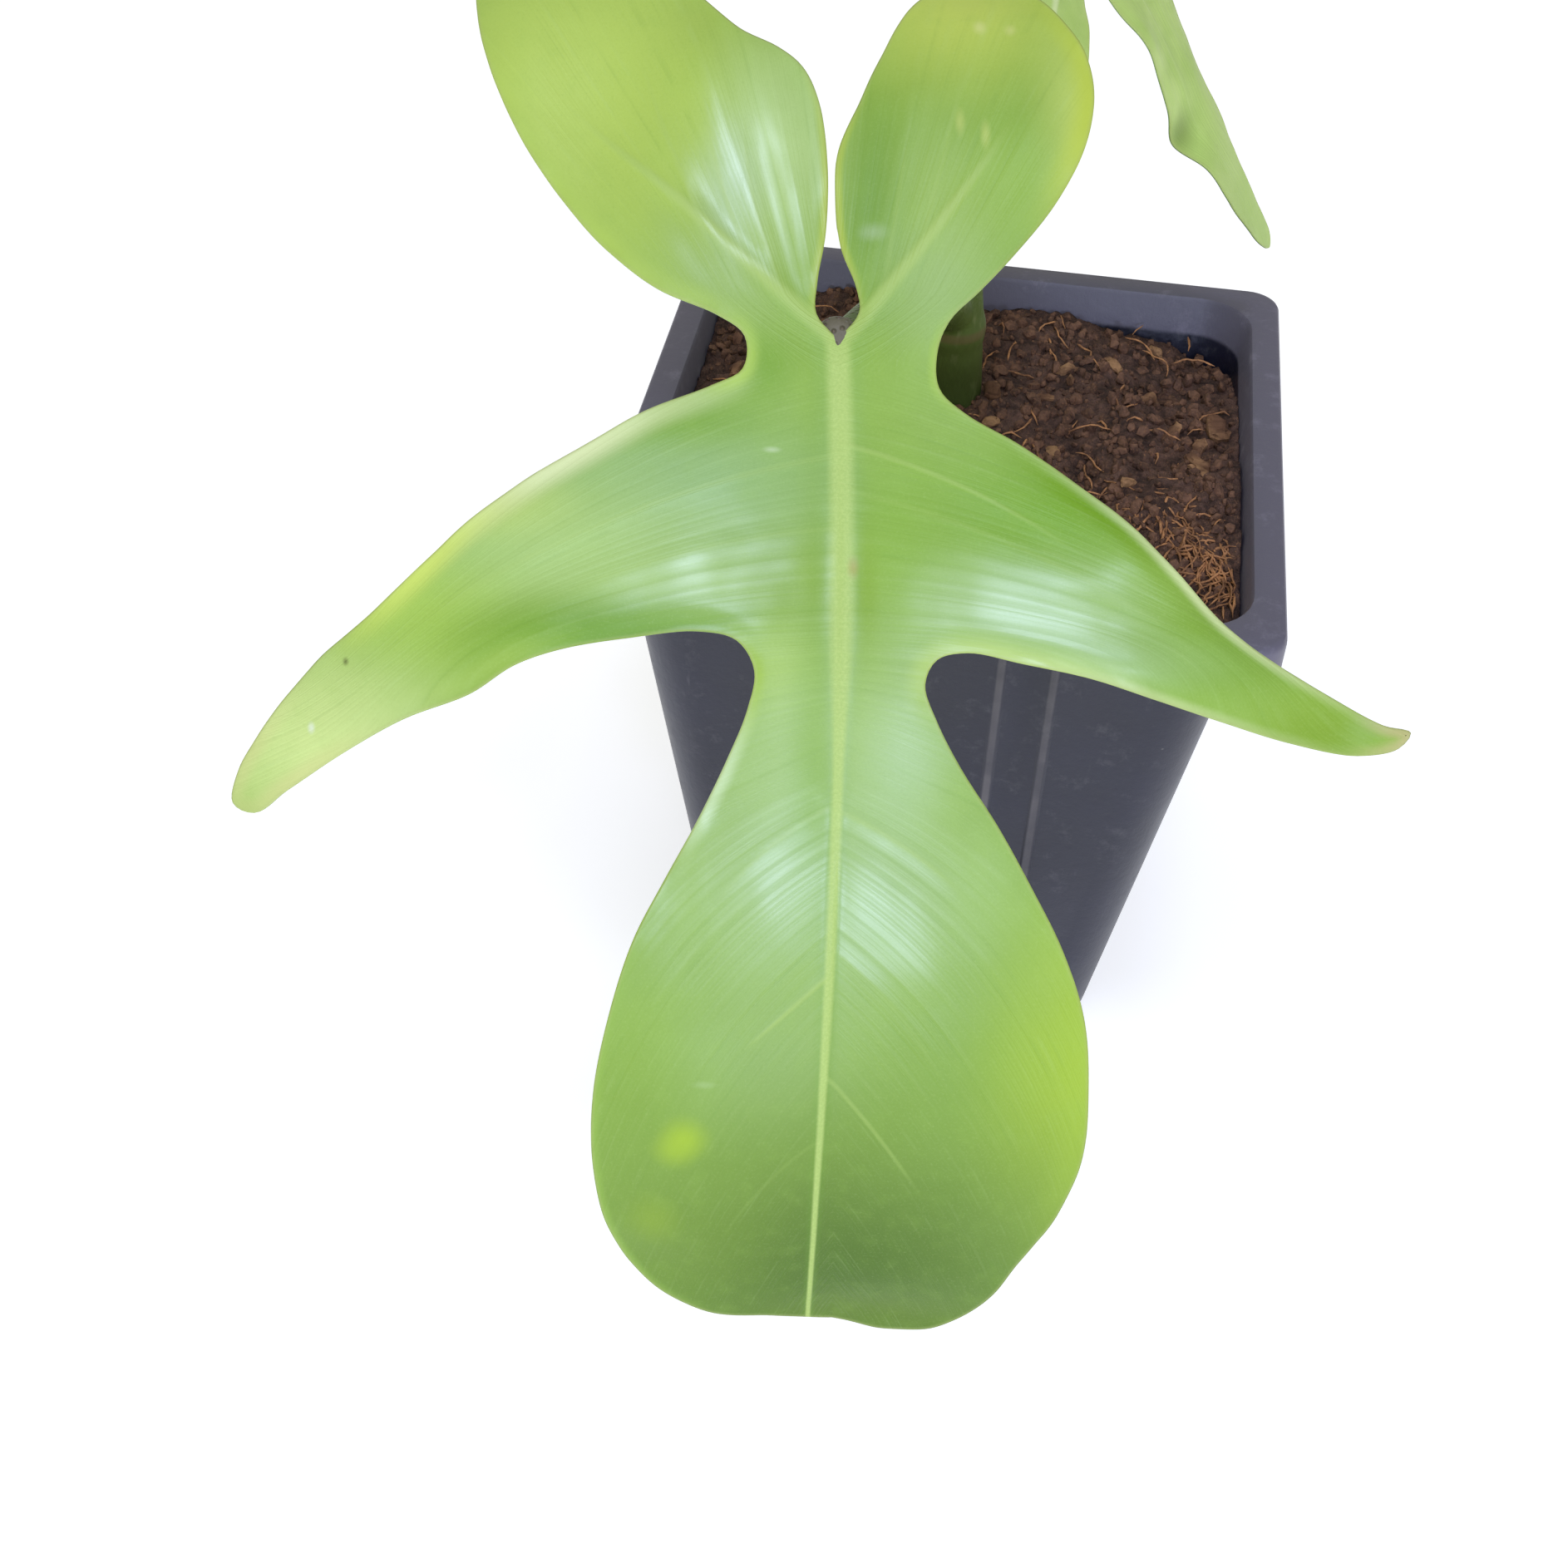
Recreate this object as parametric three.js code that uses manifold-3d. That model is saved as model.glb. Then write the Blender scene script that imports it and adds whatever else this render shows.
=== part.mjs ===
// Philodendron "florida ghost mint" in a square nursery pot, in millimetres, +Z up.
// The origin is at the middle of the pot's flat base. -Y is the side where the big leaf hangs over.
import * as THREE from 'three';
import { mergeVertices } from 'three/addons/utils/BufferGeometryUtils.js';
import { ConvexHull } from 'three/addons/math/ConvexHull.js';
import { ImprovedNoise } from 'three/addons/math/ImprovedNoise.js';
import Module from 'manifold-3d';

const wasm = await Module();
wasm.setup();

// Driving dimensions
const POT_HEIGHT = 90;
const BASE_HALF = 29.5;
const WALL_TOP_HALF = 41.6;
const RIM_HALF = 45;
const WALL = 1.2;
const LIP_DROP = 5.4;
const WALL_CORNER = 8;
const RIM_CORNER = 4.5;
const FLOOR = 1.6;
const DRAIN_RADIUS = 3;
const RIB_WIDTH = 1.1;
const RIB_SPACING = 7;
const SOIL_LEVEL = 85.4;
const FIT = 0.35;
const STEM_AT = new THREE.Vector2(-2.2, 13.1);
const STEM_RADIUS = 4.3;
const STEM_FOOT = 66;
const PETIOLE_RADIUS = 2.3;
const BLADE = 0.75;
const RIDGE = 1.3;
const MESH_STEP = 4;

// Turns a closed geometry into a solid with its faces pointing out.
function solid(geometry) {
  const plain = geometry.index ? geometry.clone() : geometry;
  for (const name of Object.keys(plain.attributes)) {
    if (name !== 'position') plain.deleteAttribute(name);
  }
  const merged = mergeVertices(plain, 1e-4);
  const place = merged.attributes.position;
  const faces = [];
  for (let i = 0; i < merged.index.count; i += 3) {
    const [a, b, c] = [0, 1, 2].map((k) => merged.index.getX(i + k));
    if (a !== b && b !== c && c !== a) faces.push([a, b, c]);
  }
  const corner = (i) => new THREE.Vector3().fromBufferAttribute(place, i);
  let volume = 0;
  for (const [a, b, c] of faces) volume += corner(a).dot(corner(b).cross(corner(c)));
  const triVerts = faces.flatMap(([a, b, c]) => (volume < 0 ? [a, c, b] : [a, b, c]));
  return new wasm.Manifold(new wasm.Mesh({
    numProp: 3,
    vertProperties: new Float32Array(place.array),
    triVerts: new Uint32Array(triVerts),
  }));
}

function geometryOf(body) {
  const mesh = body.getMesh();
  const geometry = new THREE.BufferGeometry();
  geometry.setAttribute('position', new THREE.BufferAttribute(mesh.vertProperties, 3));
  geometry.setIndex(new THREE.BufferAttribute(mesh.triVerts, 1));
  geometry.computeVertexNormals();
  return geometry;
}

function part(name, geometry, color, roughness) {
  const material = new THREE.MeshStandardMaterial({ color, roughness, metalness: 0 });
  const mesh = new THREE.Mesh(geometry, material);
  mesh.name = name;
  return mesh;
}

// A lathe whose turns are squared off: each profile point is [half width, height, corner radius].
function squared(profile, arcSteps, sideSteps) {
  const quarter = arcSteps + sideSteps;
  const points = profile.map(([half, height]) => new THREE.Vector2(half, height));
  const geometry = new THREE.LatheGeometry(points, 4 * quarter);
  const place = geometry.attributes.position;
  for (let i = 0; i < place.count; i += 1) {
    const [half, height, corner] = profile[i % profile.length];
    const turn = Math.floor(i / profile.length) % (4 * quarter);
    const side = Math.floor(turn / quarter);
    const step = turn % quarter;
    const angle = (Math.min(step / arcSteps, 1) * Math.PI) / 2;
    const along = Math.max(0, step - arcSteps) / sideSteps;
    const x = half - corner + corner * Math.cos(angle);
    const y = half - corner + corner * Math.sin(angle);
    const spot = new THREE.Vector2(x - along * 2 * (half - corner), y);
    spot.rotateAround(new THREE.Vector2(), (side * Math.PI) / 2);
    place.setXYZ(i, spot.x, spot.y, height);
  }
  return geometry;
}

// Pot: thin square walls that widen upwards, a flat rim and a turned-down lip.
const flare = (WALL_TOP_HALF - BASE_HALF) / POT_HEIGHT;
const outside = (z) => BASE_HALF + flare * z;
const inside = (z) => outside(z) - WALL;
const under = POT_HEIGHT - WALL;
const potShell = solid(squared([
  [0, 0, 0],
  [outside(0) - 1, 0, 6.4],
  [outside(1), 1, 7],
  [outside(under), under, WALL_CORNER],
  [RIM_HALF - WALL, under, RIM_CORNER - 0.6],
  [RIM_HALF - WALL, POT_HEIGHT - LIP_DROP, RIM_CORNER - 0.6],
  [RIM_HALF, POT_HEIGHT - LIP_DROP, RIM_CORNER],
  [RIM_HALF, POT_HEIGHT - 0.7, RIM_CORNER],
  [RIM_HALF - 0.7, POT_HEIGHT, RIM_CORNER - 0.4],
  [inside(POT_HEIGHT) + 0.7, POT_HEIGHT, WALL_CORNER - 0.4],
  [inside(POT_HEIGHT - 0.7), POT_HEIGHT - 0.7, WALL_CORNER - 0.8],
  [inside(FLOOR + 1), FLOOR + 1, 6],
  [inside(FLOOR) - 1, FLOOR, 5.4],
  [0, FLOOR, 0],
], 4, 1));

let pot = potShell;
const lean = Math.atan(flare);
for (let side = 0; side < 4; side += 1) {
  for (const shift of [-RIB_SPACING / 2, RIB_SPACING / 2]) {
    const rib = new THREE.BoxGeometry(RIB_WIDTH, 1, POT_HEIGHT - 12);
    rib.rotateX(lean);
    rib.translate(shift, -outside(POT_HEIGHT / 2 - 2) + 0.15, POT_HEIGHT / 2 - 2);
    rib.rotateZ((side * Math.PI) / 2);
    pot = pot.add(solid(rib));
  }
  for (const [x, y] of [[17, 17], [0, 22]]) {
    const drain = new THREE.CylinderGeometry(DRAIN_RADIUS, DRAIN_RADIUS, 6, 16);
    drain.rotateX(Math.PI / 2);
    drain.translate(x, y, 1);
    drain.rotateZ((side * Math.PI) / 2);
    pot = pot.subtract(solid(drain));
  }
}

// Soil: a block that fills the pot, with a lumpy top, bark chips and a mat of fibre.
const noise = new ImprovedNoise();

function soilHeight(x, y) {
  const lumps = 1.3 * noise.noise(x / 11, y / 11, 0.3) + 0.9 * noise.noise(x / 4.5, y / 4.5, 2.6);
  const backCorner = -6 * Math.exp(-((x - 40) ** 2 + (y - 40) ** 2) / 260);
  const mat = 1.8 * Math.exp(-((x - 32) ** 2 + (y + 12) ** 2) / 150);
  const roundStem = 1 * Math.exp(-((x - STEM_AT.x) ** 2 + (y - STEM_AT.y) ** 2) / 90);
  return SOIL_LEVEL + lumps + backCorner + mat + roundStem;
}

const soilEdge = inside(SOIL_LEVEL) - FIT;
const soilRings = 11;
const soilProfile = [[0, FLOOR + FIT, 0], [inside(FLOOR + 1) - 1.4 - FIT, FLOOR + FIT, 6]];
soilProfile.push([inside(FLOOR + 2) - FIT, FLOOR + 2.4, 7]);
for (let ring = soilRings; ring >= 0; ring -= 1) {
  const share = ring / soilRings;
  soilProfile.push([soilEdge * share, SOIL_LEVEL, 8 * share]);
}
const soilShape = squared(soilProfile, 4, 7);
const soilPlace = soilShape.attributes.position;
for (let i = 0; i < soilPlace.count; i += 1) {
  const [x, y, z] = [soilPlace.getX(i), soilPlace.getY(i), soilPlace.getZ(i)];
  if (z > SOIL_LEVEL - 0.01) {
    const rim = Math.max(Math.abs(x), Math.abs(y)) > soilEdge - 0.01;
    const height = soilHeight(x, y);
    soilPlace.setZ(i, rim ? Math.min(height, SOIL_LEVEL) : height);
  }
}
let soil = solid(soilShape);

// A seeded draw, so that the chips always lie the same way.
let seed = 41;
function draw(low, high) {
  seed = (seed * 16807) % 2147483647;
  return low + ((high - low) * seed) / 2147483647;
}

function layOn(geometry, x, y, turn, tip, sunk) {
  geometry.rotateX(tip);
  geometry.rotateZ(turn);
  geometry.translate(x, y, soilHeight(x, y) + sunk);
  return solid(geometry);
}

// The larger pieces of bark: [x, y, length, turn].
const BARK = [
  [3.6, 12, 3.2, 0.2], [21, 26, 3.6, 0.6], [26, 18.5, 3.2, -0.7], [30, 8.5, 4.6, -0.4],
  [36.5, 12, 5.2, 0.3], [34, -1.4, 3.6, 1.1],
];

const chips = [];
for (const [x, y, length, turn] of BARK) {
  chips.push(layOn(new THREE.BoxGeometry(0.5 * length, length, 2.2), x, y, turn, 0.2, 0.2));
}
for (let i = 0; i < 26; i += 1) {
  const chip = new THREE.BoxGeometry(draw(1.4, 2.6), draw(2.6, 6), draw(1, 1.9));
  const [x, y] = [draw(-35, 35), draw(-35, 35)];
  chips.push(layOn(chip, x, y, draw(0, 3.1), draw(-0.35, 0.35), draw(-0.1, 0.4)));
}
for (let i = 0; i < 18; i += 1) {
  const fibre = new THREE.CylinderGeometry(0.35, 0.5, draw(5, 11), 5);
  const slide = draw(0, 1);
  const [x, y] = [27 + 9 * slide + draw(-2, 2), 1 - 24 * slide + draw(-3, 3)];
  chips.push(layOn(fibre, x, y, draw(-0.6, 1.2), draw(-0.25, 0.25), draw(-0.1, 0.5)));
}
for (const chip of chips) soil = soil.add(chip);
soil = soil.intersect(solid(squared([
  [0, FLOOR + FIT, 0],
  [inside(FLOOR + 1) - 1.4 - FIT, FLOOR + FIT, 6],
  [inside(FLOOR + 2) - FIT, FLOOR + 2.4, 7],
  [inside(POT_HEIGHT) - FIT, POT_HEIGHT, 8.2],
  [0, POT_HEIGHT, 0],
], 4, 1)));
const socket = new THREE.CylinderGeometry(STEM_RADIUS + FIT, STEM_RADIUS + FIT, 40, 24);
socket.rotateX(Math.PI / 2);
socket.translate(STEM_AT.x, STEM_AT.y, STEM_FOOT - FIT + 20);
soil = soil.subtract(solid(socket));
soil = soil.decompose().sort((a, b) => b.volume() - a.volume())[0];

// Bends a lathe, whose height runs from 0 to 1, along a curve.
function bent(profile, sides, curve) {
  const points = profile.map(([radius, height]) => new THREE.Vector2(radius, height));
  const geometry = new THREE.LatheGeometry(points, sides);
  const place = geometry.attributes.position;
  const spot = new THREE.Vector3();
  for (let i = 0; i < place.count; i += 1) {
    spot.fromBufferAttribute(place, i);
    const share = THREE.MathUtils.clamp(spot.y, 0, 1);
    const along = curve.getTangentAt(share);
    const across = new THREE.Vector3(1, 0, 0).addScaledVector(along, -along.x).normalize();
    const third = new THREE.Vector3().crossVectors(along, across);
    const middle = curve.getPointAt(share);
    middle.addScaledVector(across, spot.x).addScaledVector(third, spot.z);
    place.setXYZ(i, middle.x, middle.y, middle.z);
  }
  return geometry;
}

// Blade: a flat outline, bent. x runs across it, y from the tip towards the stalk.
// The outline of each half starts at the notch by the stalk and ends at the tip.
const RIGHT_EDGE = [
  [2.2, 2.8], [1.9, 5.4], [0.3, 9.8], [-0.2, 15], [0.1, 20.5], [2.4, 26], [4.7, 31.3], [7.8, 37.6],
  [10.6, 41], [14.6, 43], [19.5, 41.2], [23.6, 36.4], [26.3, 31], [26.9, 26], [25.6, 19.8],
  [22.6, 14], [18.2, 8.5], [14.5, 4.6], [11.6, 1.8], [10.3, -1.2], [10.4, -5.2], [13, -7.8],
  [18.2, -10.8], [24.1, -14.8], [29.7, -19.1], [34.7, -24.2], [39.8, -29.3], [45.8, -33.6],
  [52.5, -37.3], [57.5, -39.8], [60.6, -40.6], [59.4, -42.4], [54.8, -43.1], [47, -41.6],
  [39.8, -39.4], [32.7, -37.1], [25.8, -34.9], [18.9, -33.4], [13.4, -32.3], [10.2, -33],
  [9, -35.5], [10.2, -39.2], [12.7, -44], [16.6, -50], [20.2, -56.4], [23.6, -63.1],
  [26.1, -70.5], [27, -78.6], [26.9, -87.2], [24.8, -94.6], [20.8, -101.8], [16.4, -109.5],
  [11.4, -113.7], [6, -114.5],
];
const LEFT_EDGE = [
  [-2.2, 2.6], [-2.1, 6], [-1.2, 11.3], [-1, 18.7], [-1.8, 25.8], [-3.6, 30.2], [-6.2, 32.4],
  [-10.3, 34.2], [-14.5, 38.6], [-20, 45], [-26, 51.5], [-31.5, 54.5], [-36, 52.5], [-38.6, 47],
  [-38.8, 40], [-36.9, 31], [-33.4, 22.5], [-29, 15.5], [-24.2, 9.6], [-18.6, 5], [-12.6, 2.4],
  [-9.6, 0.2], [-9.8, -3.2], [-12.9, -4.9], [-19.5, -7.4], [-25.7, -10.8], [-31.9, -14.3],
  [-37.8, -18.4], [-43.4, -23.1], [-49.1, -27.9], [-55.2, -32.7], [-60.7, -38.6],
  [-65.4, -45.2], [-66.4, -49.2], [-63.6, -50.2], [-59.4, -47.4], [-52.3, -42.9],
  [-45.4, -39.1], [-38.3, -36.5], [-33.4, -33.6], [-28.5, -32], [-21.5, -30.8], [-14.4, -30.1],
  [-10.4, -31], [-8.6, -34], [-9.3, -38], [-11.4, -43.1], [-14.5, -49.4], [-18, -55.7],
  [-21.4, -62.3], [-24.3, -71.5], [-26, -80], [-26.3, -89], [-24.6, -99], [-20.6, -106.3],
  [-14.2, -110.2], [-7, -111.2],
];
const NOTCH = [0, 0];
const TIP = [0, -113.2];

// Triangles over one half of the blade, between its cut edge and the midrib.
function halfMesh(edge, form) {
  const path = [NOTCH, ...edge, TIP].map(([x, y]) => {
    if (y > 0) return new THREE.Vector3(x, y * form.backLength, 0);
    if (Math.abs(x) > 30 || y > -37) return new THREE.Vector3(x, y, 0);
    return new THREE.Vector3(x * form.lobeWidth, -37 + (y + 37) * form.lobeLength, 0);
  });
  const tip = path.at(-1).y;
  const curve = new THREE.CatmullRomCurve3(path, false, 'centripetal');
  const rim = curve.getSpacedPoints(Math.round(curve.getLength() / 2.8));
  rim.at(-1).x = 0;
  const middle = Math.round(-tip / MESH_STEP);
  for (let i = middle - 1; i > 0; i -= 1) rim.push(new THREE.Vector3(0, (tip * i) / middle, 0));
  const points = rim.map((p) => p.clone());
  const ring = rim.map((p) => new THREE.Vector2(p.x, p.y));
  const [low, high] = [Math.min(...ring.map((p) => p.x)), Math.max(...ring.map((p) => p.x))];
  const row = (MESH_STEP * Math.sqrt(3)) / 2;
  for (let j = 0, y = tip; y < 60; j += 1, y += row) {
    for (let x = low + (j % 2) * (MESH_STEP / 2); x < high; x += MESH_STEP) {
      const spot = new THREE.Vector2(x, y);
      const clear = Math.min(...ring.map((p) => p.distanceTo(spot)));
      if (clear > MESH_STEP * 0.62 && within(spot, ring)) points.push(new THREE.Vector3(x, y, 0));
    }
  }
  // Lifted onto a bowl, the points' lower hull is their Delaunay triangulation.
  const lifted = points.map((p) => new THREE.Vector3(p.x, p.y, (p.x * p.x + p.y * p.y) / 60));
  const number = new Map(lifted.map((p, i) => [p, i]));
  const faces = [];
  for (const face of new ConvexHull().setFromPoints(lifted).faces) {
    const trio = [face.edge, face.edge.next, face.edge.next.next].map((e) => e.head().point);
    const [a, b, c] = trio.map((p) => new THREE.Vector2(p.x, p.y));
    const centre = a.clone().add(b).add(c).divideScalar(3);
    const area = Math.abs(b.sub(a).cross(c.sub(a))) / 2;
    const lower = face.normal.z < 0 && area > 0.05;
    if (lower && within(centre, ring)) faces.push(trio.map((p) => number.get(p)));
  }
  return { points, faces };
}

function within(spot, ring) {
  let odd = false;
  for (let i = 0, j = ring.length - 1; i < ring.length; j = i, i += 1) {
    const [a, b] = [ring[i], ring[j]];
    const cross = a.x + ((b.x - a.x) * (spot.y - a.y)) / (b.y - a.y);
    if ((a.y > spot.y) !== (b.y > spot.y) && spot.x < cross) odd = !odd;
  }
  return odd;
}

// A flat strip of the given length, curved by bend radians a millimetre: [run, fall].
function curl(length, bend) {
  return [Math.sin(bend * length) / bend, (1 - Math.cos(bend * length)) / bend];
}

// Where a flat point of the blade ends up when the blade is folded at the midrib, its sides
// droop, and its tip and back lobes hang.
function bendPoint(x, y, form) {
  const bow = x < 0 ? form.droopLeft : form.droopRight;
  const turn = bow * Math.abs(x) - form.fold;
  const run = (Math.sin(turn) + Math.sin(form.fold)) / bow;
  const wave = form.waves.reduce((sum, [cx, cy, rx, ry, high]) => (
    sum + high * Math.exp(-(((x - cx) / rx) ** 2) - ((y - cy) / ry) ** 2)), 0);
  const rise = (Math.cos(turn) - Math.cos(form.fold)) / bow + wave;
  const ahead = Math.max(0, -y - form.tipFrom);
  const behind = Math.max(0, form.backFrom + y);
  const [aheadRun, aheadFall] = curl(ahead, form.tipBend);
  const [behindRun, behindFall] = curl(behind, form.backBend);
  const pitch = ahead * form.tipBend - behind * form.backBend;
  const along = THREE.MathUtils.clamp(-y, form.backFrom, form.tipFrom) + aheadRun - behindRun;
  return new THREE.Vector3(
    Math.sign(x) * run,
    -along - Math.sin(pitch) * rise,
    Math.cos(pitch) * rise - aheadFall - behindFall,
  );
}

// Both faces of a blade and its thin edge, from the two halves' triangles.
function bladeGeometry(form, thickness) {
  const above = [];
  const below = [];
  const faces = [];
  const known = new Map();
  for (const edge of [RIGHT_EDGE, LEFT_EDGE]) {
    const half = halfMesh(edge, form);
    const number = half.points.map(({ x, y }) => {
      const key = `${x.toFixed(3)},${y.toFixed(3)}`;
      if (x !== 0 || !known.has(key)) {
        known.set(key, above.length);
        const spot = bendPoint(x, y, form);
        const across = bendPoint(x + 0.05, y, form).sub(bendPoint(x - 0.05, y, form));
        const along = bendPoint(x, y + 0.05, form).sub(bendPoint(x, y - 0.05, form));
        const facing = new THREE.Vector3().crossVectors(across, along).normalize();
        const ridge = RIDGE * Math.exp(-x * x) * THREE.MathUtils.smoothstep(-y, 3, 12);
        above.push(spot);
        below.push(spot.clone().addScaledVector(facing, -thickness - ridge * (1 + y / 125)));
      }
      return known.get(key);
    });
    for (const face of half.faces) faces.push(face.map((i) => number[i]));
  }
  const count = above.length;
  const open = new Map();
  for (const [a, b, c] of faces) {
    for (const [from, to] of [[a, b], [b, c], [c, a]]) {
      if (!open.delete(`${to},${from}`)) open.set(`${from},${to}`, [from, to]);
    }
  }
  const index = faces.flatMap(([a, b, c]) => [a, b, c, a + count, c + count, b + count]);
  for (const [from, to] of open.values()) {
    index.push(from, from + count, to + count, from, to + count, to);
  }
  const geometry = new THREE.BufferGeometry().setFromPoints([...above, ...below]);
  geometry.setIndex(index);
  return geometry;
}

const DEGREE = Math.PI / 180;
const FRONT_FORM = {
  fold: 8 * DEGREE,
  droopLeft: 0.0085,
  droopRight: 0.0075,
  tipFrom: 30,
  tipBend: 0.0078,
  backFrom: 6,
  backBend: 0.009,
  lobeWidth: 1,
  lobeLength: 1,
  backLength: 1,
  waves: [
    [36, -23, 10, 6, 1.8], [50, -35, 8, 4, 1.4], [60, -40, 5, 4, 2.4], [31, -34, 9, 5, 0.9],
    [-30, -30, 7, 5, 1.2], [-42, -37, 6, 5, -1], [-53, -42, 6, 5, 1], [-38, -20, 9, 6, 0.8],
    [-24, 24, 6, 12, -1.1], [-13, 29, 6, 9, 1.4], [-34, 36, 5, 12, 1.2],
    [15, 43, 9, 6, -2], [22, 22, 6, 9, 0.8], [8, 24, 5, 9, 0.8],
    [-13, -82, 8, 14, 0.9], [14, -80, 8, 15, 1], [-22, -104, 8, 7, -1.2], [6, -112, 10, 5, -1.2],
  ],
};
const BACK_FORM = {
  fold: 6 * DEGREE,
  droopLeft: 0.004,
  droopRight: 0.004,
  tipFrom: 20,
  tipBend: 0.002,
  backFrom: 6,
  backBend: 0.009,
  lobeWidth: 0.83,
  lobeLength: 0.92,
  backLength: 0.85,
  waves: [[-42, -21, 6, 6, -3.6], [-24, -10, 8, 6, 2.2], [38, -24, 9, 7, 2], [14, -80, 8, 15, 1.4]],
};

function bladePart(name, form, size, at, turn, color) {
  const geometry = bladeGeometry(form, BLADE / size);
  geometry.scale(size, size, size);
  const mesh = part(name, geometryOf(solid(geometry)), color, 0.4);
  mesh.position.set(...at);
  mesh.rotation.set(turn[1] * DEGREE, turn[2] * DEGREE, turn[0] * DEGREE, 'ZXY');
  return mesh;
}

const leafFront = bladePart(
  'leaf_front', FRONT_FORM, 1, [-10.9, -66.9, 140.8], [10.7, 47.3, -2.6], '#93bb64');
const leafBack = bladePart(
  'leaf_back', BACK_FORM, 0.76, [5.6, 20.1, 152.8], [155, 11.8, -56.3], '#97b162');

// Stem: thick, with joint rings, ending in a pointed bud; the two leaf stalks grow out of it.
const vector = (x, y, z) => new THREE.Vector3(x, y, z);
const stemLine = new THREE.CatmullRomCurve3([
  vector(STEM_AT.x, STEM_AT.y, STEM_FOOT),
  vector(STEM_AT.x, STEM_AT.y, STEM_FOOT + 20),
  vector(-2.6, 12.3, 96),
  vector(-3.4, 10.8, 106),
  vector(-4.6, 10, 117),
  vector(-5.4, 10.6, 129),
]);
const stem = solid(bent([
  [0, 0], [STEM_RADIUS, 0], [STEM_RADIUS, 0.3], [4.1, 0.4], [4, 0.47], [4.5, 0.5], [4.1, 0.53],
  [4, 0.62], [4.6, 0.66], [4.1, 0.7], [2.9, 0.76], [2.5, 0.84], [1.6, 0.94], [0.7, 0.99], [0, 1],
], 16, stemLine));

function stalk(line, from, to, steps) {
  const profile = [[0, 0]];
  for (let i = 0; i <= steps; i += 1) {
    const share = i / steps;
    profile.push([THREE.MathUtils.lerp(from, to, Math.sqrt(share)), 0.98 * share]);
  }
  profile.push([to * 0.75, 0.993], [0, 1]);
  return solid(bent(profile, 12, new THREE.CatmullRomCurve3(line)));
}

// A point under a blade's notch, the given depth below its upper face.
function underNotch(leaf, depth) {
  return vector(0, 0.2, -depth).applyEuler(leaf.rotation).add(leaf.position);
}

const frontStalk = stalk([
  vector(-3, 11.5, 100), vector(-4.4, 1, 108), vector(-6.5, -22, 121), vector(-9, -47, 132),
  underNotch(leafFront, 7), underNotch(leafFront, BLADE + FIT),
], 3.4, PETIOLE_RADIUS, 20);
const backStalk = stalk([
  vector(-3, 11.5, 102), vector(-1.6, 16.5, 114), vector(-0.6, 19.6, 132),
  underNotch(leafBack, 7), underNotch(leafBack, BLADE + FIT),
], 3.2, 2, 14);
const greenStem = stem.add(frontStalk).add(backStalk);

const group = new THREE.Group();
group.add(
  part('pot', geometryOf(pot), '#2b2b31', 0.4),
  part('soil', geometryOf(soil), '#4d3e37', 0.95),
  part('stem', geometryOf(greenStem), '#3d4a1c', 0.55),
  leafFront,
  leafBack,
);
export default group;
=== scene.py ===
import math
import random

import bmesh
import bpy
import numpy as np
from mathutils import Euler, Matrix, Vector, noise


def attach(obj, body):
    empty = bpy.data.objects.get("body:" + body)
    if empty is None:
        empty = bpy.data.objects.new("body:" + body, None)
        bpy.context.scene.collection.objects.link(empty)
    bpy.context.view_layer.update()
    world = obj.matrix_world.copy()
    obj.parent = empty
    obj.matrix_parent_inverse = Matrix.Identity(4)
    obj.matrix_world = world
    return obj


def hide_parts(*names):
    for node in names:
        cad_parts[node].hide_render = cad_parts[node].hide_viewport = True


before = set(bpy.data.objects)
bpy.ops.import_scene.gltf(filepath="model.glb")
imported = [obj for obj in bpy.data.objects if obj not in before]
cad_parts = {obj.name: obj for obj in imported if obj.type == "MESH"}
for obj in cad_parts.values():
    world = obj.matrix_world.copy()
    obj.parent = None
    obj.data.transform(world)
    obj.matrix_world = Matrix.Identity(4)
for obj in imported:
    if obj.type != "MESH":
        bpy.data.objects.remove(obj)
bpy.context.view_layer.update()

bl_info = {
    "name": "Potted philodendron",
    "version": (1, 0, 0),
    "blender": (4, 5, 0),
    "location": "View3D > Sidebar > Plant",
    "description": "A lobed philodendron with two leaves in a square nursery pot",
    "category": "Add Mesh",
}

MM = 0.001


def rgb(red, green, blue):
    """A colour given as screen values from 0 to 255, in Blender's linear values."""
    def linear(value):
        share = value / 255
        return share / 12.92 if share <= 0.04045 else ((share + 0.055) / 1.055) ** 2.4
    return (linear(red), linear(green), linear(blue), 1.0)


# Shader maths

class Sock:
    """A node's output that takes part in Python arithmetic by adding Math nodes."""

    def __init__(self, finish, socket):
        self.finish = finish
        self.socket = socket

    def math(self, operation, *others):
        return self.finish.add("ShaderNodeMath", {"operation": operation}, dict(enumerate((self, *others))))

    def __add__(self, other):
        return self.math("ADD", other)

    def __sub__(self, other):
        return self.math("SUBTRACT", other)

    def __rsub__(self, other):
        return self.times_plus(-1, other)

    def __mul__(self, other):
        return self.math("MULTIPLY", other)

    def __truediv__(self, other):
        return self.math("DIVIDE", other)

    def __abs__(self):
        return self.math("ABSOLUTE")

    __radd__ = __add__
    __rmul__ = __mul__

    def times_plus(self, factor, extra):
        """This value times a factor, plus an extra, in one node."""
        return self.math("MULTIPLY_ADD", factor, extra)

    def most(self, other):
        return self.math("MAXIMUM", other)

    def ramp(self, low, high, start=0.0, end=1.0):
        """Goes smoothly from start to end as the value goes from low to high."""
        return self.finish.add(
            "ShaderNodeMapRange", {"interpolation_type": "SMOOTHSTEP"},
            {0: self, 1: low, 2: high, 3: start, 4: end})


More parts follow.
